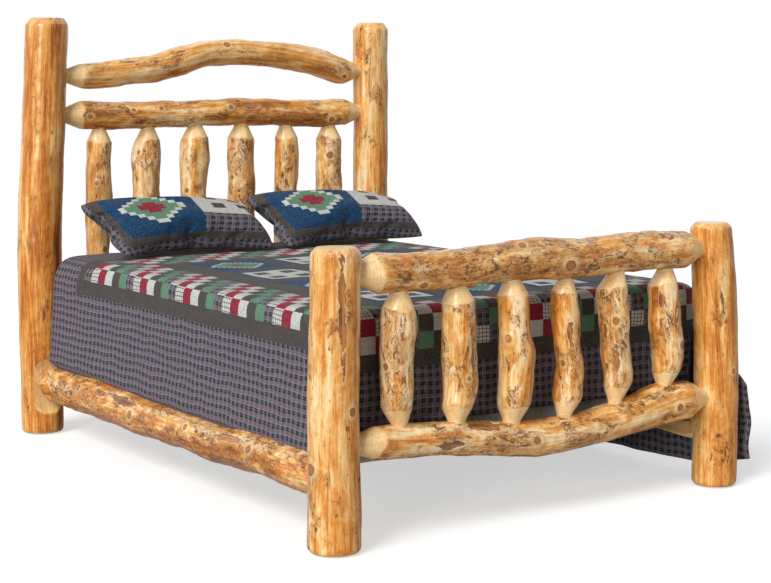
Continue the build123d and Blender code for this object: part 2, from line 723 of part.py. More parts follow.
def bedding_shell(outset, low_z, past_head):
    """Block with the mattress's soft outline, standing `outset` outside it.

    Three profiles cross: the section with its crowned top, the long profile with the rounded foot,
    and the plan with its rounded corners.
    """
    half = mattress_width / 2 + outset
    head, foot = quilt_head_y + past_head, mattress_foot_y - outset
    top = mattress_top_z + outset
    turn = mattress_edge + outset
    quarter = turn * (1 - cos(radians(45)))
    with BuildPart() as shell:
        with BuildSketch(Plane.XZ.offset(-head)):
            with BuildLine():
                Line((-half, low_z), (-half, top - turn))
                ThreePointArc((-half, top - turn), (-half + quarter, top - quarter), (-half + turn, top))
                ThreePointArc((-half + turn, top), (0, top + quilt_crown), (half - turn, top))
                ThreePointArc((half - turn, top), (half - quarter, top - quarter), (half, top - turn))
                Line((half, top - turn), (half, low_z))
                Line((half, low_z), (-half, low_z))
            make_face()
        extrude(amount=head - foot)
        crest = top + quilt_crown
        with BuildSketch(Plane.YZ.offset(-half)):
            with BuildLine():
                Line((head, low_z), (head, crest))
                Line((head, crest), (foot + turn, crest))
                ThreePointArc((foot + turn, crest), (foot + quarter, crest - quarter), (foot, crest - turn))
                Line((foot, crest - turn), (foot, low_z))
                Line((foot, low_z), (head, low_z))
            make_face()
        extrude(amount=2 * half, mode=Mode.INTERSECT)
        with BuildSketch(Plane.XY.offset(low_z)) as plan:
            with Locations((0, (head + foot) / 2)):
                Rectangle(2 * half, head - foot)
            fillet(plan.vertices().group_by(Axis.Y)[0], bedding_corner + outset)
        extrude(amount=crest - low_z, mode=Mode.INTERSECT)
    return shell.part


def build_quilt():
    """Quilt over the mattress: tucked inside the left rail, hanging free on the right."""
    low_z = slat_top_z + quilt_tuck_room
    outset = quilt_ease + quilt_thickness
    inner_half = mattress_width / 2 + quilt_ease
    half = inner_half + quilt_thickness
    foot = mattress_foot_y - outset
    corner = bedding_corner + outset
    open_past = 2 * quilt_thickness
    skirt_start_z = mattress_top_z - quilt_skirt_drop
    with BuildPart() as quilt:
        add(bedding_shell(outset, low_z, 0))
        add(bedding_shell(quilt_ease, low_z - open_past, open_past), mode=Mode.SUBTRACT)
        # The foot drop ends at its own hem, and the right wall gives way to the skirt.
        with BuildSketch(Plane.XY.offset(low_z - open_past)):
            with Locations((0, foot + corner / 2)):
                Rectangle(2 * half + open_past, corner)
        extrude(amount=quilt_foot_hem_z - low_z + open_past, mode=Mode.SUBTRACT)
        with BuildSketch(Plane.XY.offset(low_z - open_past)):
            with Locations((half, mattress_shift)):
                Rectangle(2 * quilt_thickness, 2 * mattress_length)
        extrude(amount=skirt_start_z - low_z + open_past, mode=Mode.SUBTRACT)

        # The skirt passes outside the right rail and hangs to its hem.
        over_rail_x = rail_face_x + widest(right_rail_radius, RIGHT_RAIL_RINGS) + quilt_ease
        over_rail_z = right_rail_z + right_rail_radius
        hem_x = over_rail_x + quilt_skirt_flare
        skirt = [(inner_half, skirt_start_z), (over_rail_x, over_rail_z), (hem_x, quilt_skirt_hem_z)]
        rear = [(x + quilt_thickness, z) for x, z in reversed(skirt)]
        skirt_foot_y = foot + corner
        with BuildSketch(Plane.XZ.offset(-quilt_head_y)):
            with BuildLine():
                Polyline(*skirt, *rear, close=True)
            make_face()
        extrude(amount=quilt_head_y - skirt_foot_y)

        # Its foot corner trails outside the foot post.
        log, post_y = posts["footboard_post_right"]
        post_reach = max(log.side + drift + log.radius + swell for _, drift, swell in log.rings)
        beside_x = post_reach + quilt_ease
        tail = [
            (skirt_foot_y, over_rail_x, hem_x, quilt_skirt_hem_z, over_rail_z),
            (post_y + log.radius, beside_x, beside_x, quilt_ear_low_z, quilt_ear_high_z),
            (post_y - quilt_ear_reach, beside_x + quilt_ear_flare, beside_x + quilt_ear_flare,
             quilt_ear_low_z, quilt_ear_high_z),
        ]
        for y, top_x, hem, low, high in tail:
            with BuildSketch(Plane.XZ.offset(-y)):
                with BuildLine():
                    Polyline((top_x, high), (top_x + quilt_thickness, high),
                             (hem + quilt_thickness, low), (hem, low), close=True)
                make_face()
        loft(ruled=True)
    finish(quilt, "quilt")


def build_pillow(label, x):
    """Soft sham pillow leaning on the spindles: rounded outlines that shrink towards both faces."""
    tilt = radians(pillow_tilt)
    layers = [(-0.5, 0.6), (-0.33, 0.87), (0, 1), (0.33, 0.87), (0.5, 0.6)]
    lowest = min(
        pillow_thickness * height * cos(tilt) - pillow_height / 2 * size * sin(tilt)
        for height, size in layers
    )
    rearmost = max(
        -pillow_thickness * height * sin(tilt) + pillow_height / 2 * size * cos(tilt)
        for height, size in layers
    )
    quilt_top_z = mattress_top_z + quilt_ease + quilt_thickness + quilt_crown
    middle = (x, head_y - head_clear - pillow_gap - rearmost, quilt_top_z + pillow_gap - lowest)
    face = across((0, -sin(tilt), cos(tilt)), middle)
    sections = [
        rounded_outline(face.offset(pillow_thickness * height), pillow_width * size,
                        pillow_height * size, pillow_corner * size)
        for height, size in layers
    ]
    with BuildPart() as pillow:
        add(faceted(sections))
    finish(pillow, label)


# ---------------------------------------------------------------- build every piece
for post_name in posts:
    build_post(post_name)
for rail_name in rails:
    build_rail(rail_name)
for spindle_name in spindles:
    build_spindle(spindle_name)
for rail_side in SIDE_SIGN:
    build_side_rail(rail_side)
    build_cleat(rail_side)
    for rail_end in END_SIGN:
        build_hook_plate(rail_end, rail_side)
        build_slot_plate(rail_end, rail_side)
for slat_number in range(1, slat_count + 1):
    build_slat(slat_number)
build_screws("hook_plate_screws", ALONG_Y, plate_screw_heads(rail_end_y, -1), screw_length)
build_screws("slot_plate_screws", ALONG_Y, plate_screw_heads(flat_y, 1), screw_length)
build_screws(
    "cleat_screws", ALONG_X,
    [(head, SIDE_SIGN[rail_side]) for rail_side in SIDE_SIGN for head in cleat_screw_heads(rail_side)],
    cleat_screw_length,
)
build_glides()
build_block("box_spring", slat_top_z, box_spring_top_z, box_spring_corner, box_spring_edge)
build_block("mattress", mattress_low_z, mattress_top_z, mattress_corner, mattress_edge)
build_quilt()
build_pillow("pillow_left", pillow_left_x)
build_pillow("pillow_right", pillow_right_x)
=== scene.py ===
"""A rustic log bed, dressed around its construction frame.

The logs, the quilt, the pillows and the bedding are surfaces worked out with numpy, and every
finish is a node material. All sizes are metres in the bed's own frame: +X from left to right seen
from the foot, +Y from the foot to the head, +Z up, with the floor at zero.
"""

import bmesh
import bpy
import numpy as np
from bpy.props import FloatProperty, FloatVectorProperty, PointerProperty
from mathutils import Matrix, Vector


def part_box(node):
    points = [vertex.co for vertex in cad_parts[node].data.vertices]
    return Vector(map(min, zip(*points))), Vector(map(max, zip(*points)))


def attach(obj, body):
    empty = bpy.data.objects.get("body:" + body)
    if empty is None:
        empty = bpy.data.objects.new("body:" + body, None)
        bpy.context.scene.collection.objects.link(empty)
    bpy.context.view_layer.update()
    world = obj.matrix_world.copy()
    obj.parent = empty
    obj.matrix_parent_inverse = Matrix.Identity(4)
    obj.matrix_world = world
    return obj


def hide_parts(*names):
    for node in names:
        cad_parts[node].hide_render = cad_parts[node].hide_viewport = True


bl_info = {
    "name": "Rustic Log Bed",
    "version": (1, 0, 0),
    "blender": (4, 5, 0),
    "location": "View3D > Sidebar > Log Bed",
    "description": "Builds a peeled-log bed with its quilt, pillows and bedding",
    "category": "Add Mesh",
}

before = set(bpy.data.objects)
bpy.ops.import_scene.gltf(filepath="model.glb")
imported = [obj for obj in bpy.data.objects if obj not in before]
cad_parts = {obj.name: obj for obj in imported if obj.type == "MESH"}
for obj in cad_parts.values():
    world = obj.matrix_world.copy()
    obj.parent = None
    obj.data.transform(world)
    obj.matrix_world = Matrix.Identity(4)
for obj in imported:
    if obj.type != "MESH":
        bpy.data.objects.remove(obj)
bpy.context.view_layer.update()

MM = 0.001
TAU = 2 * np.pi
ROOT = "root"
FAR = 9.0                    # a distance, in radii, that is out of every knot's and scar's reach


def srgb(red, green, blue):
    """A linear colour from its display values, 0 to 255."""
    shown = np.array((red, green, blue)) / 255
    linear = np.where(shown <= 0.04045, shown / 12.92, ((shown + 0.055) / 1.055) ** 2.4)
    return tuple(float(part) for part in linear)


# A log's directions: the one it runs along, the one at angle 0 and the one at angle 90.
AXES = {
    "rail": (0, (0, -1, 0), (0, 0, 1)),
    "upright": (2, (0, -1, 0), (-1, 0, 0)),
    "left side": (1, (-1, 0, 0), (0, 0, 1)),
    "right side": (1, (1, 0, 0), (0, 0, 1)),
}

# Knots in millimetres and degrees: height or distance along the log, angle round it, radius.
KNOTS = {
    "headboard_arch_rail": [(31, 39, 13), (546, 61, 11), (-420, 75, 9), (620, -30, 10), (200, -60, 9)],
    "headboard_upper_rail": [
        (-609, -5, 9), (-414, 26, 8), (-286, 30, 9), (40, 21, 10), (546, -26, 11), (250, 200, 12)],
    "headboard_lower_rail": [(-300, 20, 12), (200, 150, 14), (420, 60, 10)],
    "headboard_spindle_1": [(1189, 27, 8), (737, -11, 11), (1010, 35, 9), (950, 160, 11)],
    "headboard_spindle_2": [(1010, 190, 12), (870, -60, 10), (1130, 60, 8)],
    "headboard_spindle_3": [(964, 58, 10), (900, 200, 12)],
    "headboard_spindle_4": [(1190, -15, 9), (960, 170, 12), (1010, 70, 9)],
    "headboard_spindle_5": [(1000, -70, 11), (880, 150, 10)],
    "headboard_spindle_6": [(1094, 24, 14), (930, 180, 12)],
    "headboard_post_left": [(1280, 170, 15), (700, -110, 13), (300, 210, 16)],
    "headboard_post_right": [(1150, 200, 14), (560, -95, 15)],
    "footboard_post_left": [(268, 92, 17), (446, -14, 12), (760, 180, 14)],
    "footboard_post_right": [(418, -7, 9), (700, 160, 15), (250, 190, 13)],
    "footboard_top_rail": [(-491, -37, 12), (-101, 50, 12), (84, -15, 17), (-100, 170, 12), (560, 200, 12)],
    "footboard_lower_rail": [(-48, 5, 14), (340, 60, 11), (572, -3, 12), (-672, 37, 8), (-330, 160, 15)],
    "footboard_spindle_1": [(560, 75, 10), (480, 190, 11)],
    "footboard_spindle_2": [(500, 5, 7), (680, 200, 10)],
    "footboard_spindle_3": [(610, 60, 12), (450, 170, 10)],
    "footboard_spindle_4": [(506, 70, 9), (640, 150, 10)],
    "footboard_spindle_5": [(633, 34, 12), (520, 200, 11)],
    "footboard_spindle_6": [(527, -23, 14), (460, 180, 11)],
    "side_rail_left": [(-640, 20, 13), (-180, 35, 12), (240, 10, 14), (690, 30, 12)],
    "side_rail_right": [(-500, 115, 11), (60, -75, 11), (560, 105, 11)],
}

# Scars where bark was left or a limb was torn, in millimetres and degrees: place along the log,
# angle round it, half length, half width.
SCARS = {
    "footboard_post_left": [(745, 15, 160, 11)],
    "footboard_lower_rail": [(-238, 56, 78, 18), (-390, -14, 46, 13)],
    "headboard_upper_rail": [(-490, 20, 26, 8), (-130, 55, 40, 8), (150, 25, 34, 8)],
    "footboard_spindle_4": [(610, 20, 34, 11)],
    "footboard_spindle_5": [(500, 40, 40, 13)],
    "footboard_spindle_6": [(690, 50, 26, 8)],
    "side_rail_left": [(-480, 40, 90, 14), (330, 45, 90, 14)],
    "side_rail_right": [(-200, 40, 80, 12), (420, 30, 60, 11)],
}

# The side of a log darkened with painted shade, where its light falls off, and with darker heartwood: its
# angle and by how much.
SHADED_SIDES = {
    "headboard_post_left": (-12, 0.34), "headboard_post_right": (-30, 0.14),
    "headboard_upper_rail": (-35, 0.22), "headboard_arch_rail": (-45, 0.16),
    "footboard_post_left": (-15, 0.14), "footboard_post_right": (-34, 0.32),
    "footboard_top_rail": (-60, 0.12), "side_rail_left": (-60, 0.34),
}

# How densely a log is mottled, how strongly it is streaked and how dark it is.
TONES = {
    "headboard_post_left": (0.1, 0.8, 0.0), "headboard_post_right": (0.15, 0.9, -0.02),
    "headboard_arch_rail": (0.3, 0.9, -0.02), "headboard_upper_rail": (0.6, 1.0, 0.0),
    "headboard_spindle_1": (0.3, 0.8, -0.04), "headboard_spindle_2": (0.7, 0.7, -0.10),
    "headboard_spindle_3": (0.5, 0.9, -0.06), "headboard_spindle_4": (0.7, 0.6, -0.10),
    "headboard_spindle_5": (0.4, 0.9, -0.06), "headboard_spindle_6": (0.8, 0.7, -0.06),
    "footboard_post_left": (0.3, 0.75, 0.0), "footboard_post_right": (0.2, 0.75, -0.01),
    "footboard_top_rail": (0.95, 0.6, -0.06), "footboard_lower_rail": (0.6, 0.8, -0.03),
    "footboard_spindle_1": (1.0, 0.6, -0.14), "footboard_spindle_2": (0.55, 0.8, -0.10),
    "footboard_spindle_3": (0.4, 0.8, 0.04), "footboard_spindle_4": (0.7, 0.8, 0.0),
    "footboard_spindle_5": (0.8, 0.8, -0.08), "footboard_spindle_6": (0.7, 0.9, 0.0),
    "side_rail_left": (0.9, 0.9, -0.04), "side_rail_right": (0.8, 1.0, 0.0),
}

# Drying checks in millimetres and degrees: from, to, angle round the log, half width.
CHECKS = {
    "headboard_post_right": [(1290, 1600, 35, 1.6)],
    "headboard_post_left": [(420, 700, 205, 1.5)],
    "footboard_post_left": [(180, 330, 40, 1.6)],
    "footboard_post_right": [(250, 470, 160, 1.5)],
    "footboard_top_rail": [(-420, 250, 200, 1.3)],
    "footboard_lower_rail": [(-60, 200, -55, 1.2)],
    "footboard_spindle_5": [(470, 690, 55, 1.2)],
    "headboard_spindle_2": [(760, 980, 40, 1.0)],
    "headboard_arch_rail": [(240, 560, 100, 1.2)],
    "side_rail_left": [(-300, 300, 62, 1.2)],
}


class LogBedLogs(bpy.types.PropertyGroup):
    """Sizes and colours of the peeled logs."""
    waviness: FloatProperty(
        name="Waviness", description="How far a log's skin swells and dips", default=1.6 * MM,
        min=0, max=0.01, unit="LENGTH")
    step: FloatProperty(
        name="Step", description="Distance between the rings of a log's mesh", default=6 * MM,
        min=0.002, max=0.05, unit="LENGTH")
    cream: FloatVectorProperty(
        name="Cream", description="Palest streaks and the halos of knots", subtype="COLOR",
        default=srgb(255, 230, 184))
    light: FloatVectorProperty(
        name="Light", description="Light sapwood", subtype="COLOR", default=srgb(247, 203, 136))
    honey: FloatVectorProperty(
        name="Honey", description="Varnished sapwood", subtype="COLOR", default=srgb(232, 160, 74))
    amber: FloatVectorProperty(
        name="Amber", description="Orange-brown streaks", subtype="COLOR", default=srgb(196, 112, 32))
    brown: FloatVectorProperty(
        name="Brown", description="Darkest streaks", subtype="COLOR", default=srgb(118, 62, 20))
    bark: FloatVectorProperty(
        name="Bark", description="Inner bark left in flecks and scabs", subtype="COLOR",
        default=srgb(78, 44, 24))
    cut: FloatVectorProperty(
        name="Cut", description="Freshly cut wood at tenons and milled flats", subtype="COLOR",
        default=srgb(255, 222, 156))


class LogBedQuilt(bpy.types.PropertyGroup):
    """Sizes and colours of the quilt and the shams."""
    patch: FloatProperty(
        name="Patch", description="Side of one square patch", default=56.3 * MM, min=0.02, max=0.2,
        unit="LENGTH")
    thickness: FloatProperty(
        name="Thickness", description="Thickness of the quilt", default=8 * MM, min=0.002, max=0.015,
        unit="LENGTH")
    charcoal: FloatVectorProperty(
        name="Charcoal", description="Speckled charcoal print", subtype="COLOR",
        default=srgb(76, 71, 67))
    plaid: FloatVectorProperty(
        name="Plaid", description="Ground of the plaid", subtype="COLOR", default=srgb(108, 108, 118))
    red: FloatVectorProperty(
        name="Red", description="Red print", subtype="COLOR", default=srgb(152, 32, 56))
    white: FloatVectorProperty(
        name="White", description="White print", subtype="COLOR", default=srgb(212, 214, 208))
    green: FloatVectorProperty(
        name="Green", description="Green print", subtype="COLOR", default=srgb(98, 146, 116))
    blue: FloatVectorProperty(
        name="Blue", description="Blue print", subtype="COLOR", default=srgb(8, 64, 104))


class LogBedStage(bpy.types.PropertyGroup):
    """The floor and the lights."""
    daylight: FloatProperty(
        name="Daylight", description="Strength of the light from all round", default=0.24, min=0, max=2)
    window: FloatProperty(
        name="Window", description="Strength of the broad light from the left", default=2.25, min=0, max=6)
    softbox: FloatProperty(
        name="Softbox", description="Strength of the low light from the front", default=0.8, min=0, max=6)


# ---------------------------------------------------------------- helpers for meshes


def node_points(node):
    """The different corners of a node of the frame, as an array."""
    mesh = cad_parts[node].data
    points = np.empty(len(mesh.vertices) * 3, np.float32)
    mesh.vertices.foreach_get("co", points)
    return np.unique(np.round(points.reshape(-1, 3).astype(float), 5), axis=0)


def fitted_circle(points):
    """Centre, radius and worst error of the circle that lies nearest to flat points."""
    system = np.c_[2 * points, np.ones(len(points))]
    east, north, rest = np.linalg.lstsq(system, (points ** 2).sum(1), rcond=None)[0]
    radius = np.sqrt(rest + east ** 2 + north ** 2)
    error = np.abs(np.hypot(*(points - (east, north)).T) - radius).max()
    return east, north, radius, error


def node_rings(node, axis):
    """Place, centre and radius of each ring of corners that a log of the frame has along its axis."""
    points = node_points(node)
    rings = []
    for place in np.unique(np.round(points[:, axis], 4)):
        ring = np.delete(points[np.abs(points[:, axis] - place) < 0.15 * MM], axis, 1)
        if len(ring) >= 8:
            east, north, radius, error = fitted_circle(ring)
            if error < 0.5 * MM and (not rings or place - rings[-1][0] > 1 * MM):
                rings.append((place, east, north, radius))
    rings = np.array(rings)
    return rings[rings[:, 3] > 0.25 * rings[:, 3].max()]


def smooth_through(places, values, where):
    """A cubic Hermite curve through (places, values): each slope is that of its two neighbours."""
    places = np.asarray(places, float)
    values = np.asarray(values, float)
    slopes = np.gradient(values, places)
    where = np.clip(where, places[0], places[-1])
    k = np.clip(np.searchsorted(places, where) - 1, 0, len(places) - 2)
    gap = places[k + 1] - places[k]
    t = (where - places[k]) / gap
    return ((2 * t ** 3 - 3 * t ** 2 + 1) * values[k] + (t ** 3 - 2 * t ** 2 + t) * gap * slopes[k]
            + (3 * t ** 2 - 2 * t ** 3) * values[k + 1] + (t ** 3 - t ** 2) * gap * slopes[k + 1])


def smooth_step(low, high, value):
    """0 below low, 1 above high and 3t² - 2t³ between them."""
    t = np.clip((value - low) / (high - low), 0, 1)
    return t * t * (3 - 2 * t)


def soft_least(a, b, softness):
    """The lesser of a and b, with the corner between them rounded over about the softness."""
    return np.minimum(a, b) - softness * np.log1p(np.exp(-np.abs(a - b) / softness))


def tube_faces(rows, columns):
    """Quads between the rings of a tube, whose vertices lie ring by ring, with fans to its poles.

    Vertex 0 is the first pole, the last vertex is the other one, and rows counts the rings.
    """
    ring = 1 + np.arange(rows - 1)[:, None] * columns
    here = np.arange(columns)[None, :]
    after = (here + 1) % columns
    quads = np.stack([ring + here, ring + after, ring + columns + after, ring + columns + here], -1)
    here, after = here[0], after[0]
    last = 1 + (rows - 1) * columns
    pole = np.full(columns, last + columns)
    near = np.stack([np.zeros(columns, int), 1 + after, 1 + here], -1)
    far = np.stack([last + here, last + after, pole], -1)
    return [quads.reshape(-1, 4), near, far]


def outward(points, faces):
    """The faces turned so that the closed surface has a positive volume."""
    volume = 0.0
    for group in faces:
        a, b, c = (points[group[:, k]] for k in range(3))
        volume += np.einsum("ij,ij->", a, np.cross(b, c))
        if group.shape[1] == 4:
            volume += np.einsum("ij,ij->", a, np.cross(c, points[group[:, 3]]))
    return faces if volume > 0 else [group[:, ::-1] for group in faces]


def new_piece(name, points, faces, material, attributes=None):
    """A mesh object at the origin that rides on the bed, with its vertex attributes and material."""
    mesh = bpy.data.meshes.new(name)
    counts = np.concatenate([np.full(len(group), group.shape[1]) for group in faces])
    corners = np.concatenate([group.ravel() for group in faces])
    mesh.vertices.add(len(points))
    mesh.vertices.foreach_set("co", np.ascontiguousarray(points, np.float32).ravel())
    mesh.loops.add(len(corners))
    mesh.loops.foreach_set("vertex_index", corners.astype(np.int32))
    mesh.polygons.add(len(counts))
    mesh.polygons.foreach_set("loop_start", np.r_[0, np.cumsum(counts)[:-1]].astype(np.int32))
    mesh.update(calc_edges=True)
    for label, values in (attributes or {}).items():
        put_attribute(mesh, label, values, "POINT")
    if mesh.validate():
        raise RuntimeError(f"{name}: the mesh had faults")
    mesh.shade_smooth()
    mesh.materials.append(material)
    piece = bpy.data.objects.new(name, mesh)
    bpy.context.scene.collection.objects.link(piece)
    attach(piece, ROOT)
    return piece


def put_attribute(mesh, label, values, domain):
    """Writes one number, vector or colour per vertex or face."""
    values = np.asarray(values, np.float32)
    kind, key = {1: ("FLOAT", "value"), 3: ("FLOAT_VECTOR", "vector"), 4: ("FLOAT_COLOR", "color")}[
        1 if values.ndim == 1 else values.shape[1]]
    mesh.attributes.new(label, kind, domain).data.foreach_set(key, values.ravel())


# ---------------------------------------------------------------- helper for materials


class Finish:
    """A node material while it is made, with short calls for the nodes that the finishes share."""

    def __init__(self, name, **settings):
        self.material = bpy.data.materials.new(name)
        self.material.use_nodes = True
        self.tree = self.material.node_tree
        self.surface = self.tree.nodes["Principled BSDF"]
        for socket, value in settings.items():
            self.surface.inputs[socket.replace("_", " ").title().replace("Ior", "IOR")].default_value = value

    def node(self, kind, settings=None, **inputs):
        """A node with its settings, and inputs that are numbers, colours or other nodes' outputs."""
        made = self.tree.nodes.new(kind)
        for key, value in (settings or {}).items():
            setattr(made, key, value)
        for key, value in inputs.items():
            self.feed(made.inputs[key.replace("_", " ")], value)
        return made

    def feed(self, socket, value):
        """Links an output to the socket, or sets the socket's own value."""
        if isinstance(value, bpy.types.NodeSocket):
            self.tree.links.new(value, socket)
        elif socket.type == "RGBA":
            socket.default_value = (*value, 1)
        else:
            socket.default_value = value

    def ramp(self, value, *stops):
        """The colour at the value among stops of (place, colour)."""
        made = self.node("ShaderNodeValToRGB", Fac=value)
        marks = made.color_ramp.elements
        for place, _ in stops[1:-1]:
            marks.new(place)
        for mark, (place, colour) in zip(marks, stops):
            mark.position, mark.color = place, (*colour, 1)
        return made.outputs["Color"]

    def swing(self, start, *terms):
        """start plus each value, as it swings about its middle of 0.5, times its weight."""
        for value, weight in terms:
            start = self.math("ADD", start, self.math("MULTIPLY", self.math("SUBTRACT", value, 0.5), weight))
        return start

    def line(self, value, middle, half):
        """1 where the value passes through the middle, fading to 0 at half of a width either way."""
        return self.fade(self.apart(value, middle), 0.0, half, 1, 0)

    def apart(self, value, middle=0.5):
        """How far the value is from the middle, either way."""
        return self.math("ABSOLUTE", self.math("SUBTRACT", value, middle))

    def product(self, *values):
        """All the values multiplied."""
        result = values[0]
        for value in values[1:]:
            result = self.math("MULTIPLY", result, value)
        return result

    def over(self, under, colour, *shares):
        """The colour under, with another over it to the product of the shares."""
        return self.mix(self.product(*shares), under, colour)

    def attribute(self, name):
        """The node that reads one of the mesh's own attributes."""
        return self.node("ShaderNodeAttribute", {"attribute_name": name})

    def object_place(self):
        """The place on the bed, as Object coordinates."""
        return self.node("ShaderNodeTexCoord").outputs["Object"]

    def stretched(self, vector, scale):
        """The vector with each coordinate multiplied: a small factor draws a pattern out that way."""
        return self.node("ShaderNodeMapping", Vector=vector, Scale=scale).outputs[0]

    def noise(self, vector, scale, detail=4.0, rough=0.5, warp=0.0):
        """A cloudy value about 0.5, with so many patches to the metre."""
        return self.node("ShaderNodeTexNoise", Vector=vector, Scale=scale, Detail=detail,
                         Roughness=rough, Distortion=warp).outputs["Fac"]

    def warped(self, vector, scale, reach):
        """The vector moved about by a broad noise, by up to a fifth of the reach."""
        drift = self.node("ShaderNodeTexNoise", Vector=vector, Scale=scale, Detail=2.0).outputs["Color"]
        moves = (("SUBTRACT", (0.5, 0.5, 0.5)), ("MULTIPLY", (reach, reach, 0)), ("ADD", vector))
        for operation, other in moves:
            step = self.node("ShaderNodeVectorMath", {"operation": operation})
            self.feed(step.inputs[0], drift)
            self.feed(step.inputs[1], other)
            drift = step.outputs[0]
        return drift

    def math(self, operation, a, b=0.0):
        """One step of arithmetic on numbers or outputs."""
        made = self.node("ShaderNodeMath", {"operation": operation})
        self.feed(made.inputs[0], a)
        self.feed(made.inputs[1], b)
        return made.outputs[0]

    def fade(self, value, low, high, start=0.0, end=1.0):
        """Runs smoothly from start to end while the value goes from low to high."""
        made = self.node("ShaderNodeMapRange", {"interpolation_type": "SMOOTHSTEP"})
        for socket, number in zip(made.inputs, (value, low, high, start, end)):
            self.feed(socket, number)
        return made.outputs[0]

    def mix(self, share, a, b, blend="MIX"):
        """Colour a, going over to colour b as the share goes from 0 to 1."""
        made = self.node("ShaderNodeMix", {"data_type": "RGBA", "blend_type": blend})
        self.feed(made.inputs[0], share)
        self.feed(made.inputs[6], a)
        self.feed(made.inputs[7], b)
        return made.outputs[2]

    def split(self, vector):
        """The three coordinates of the vector."""
        return self.node("ShaderNodeSeparateXYZ", Vector=vector).outputs

    def bump(self, height, distance, strength, under=None):
        """A normal that follows the height, of which 1 stands for the distance."""
        made = self.node("ShaderNodeBump", Height=height, Distance=distance, Strength=strength)
        if under is not None:
            self.feed(made.inputs["Normal"], under)
        return made.outputs[0]

    def finish(self, **outputs):
        """Links the outputs to the shader and hands over the material."""
        for socket, value in outputs.items():
            self.feed(self.surface.inputs[socket.replace("_", " ").title()], value)
        return self.material


# ---------------------------------------------------------------- wood


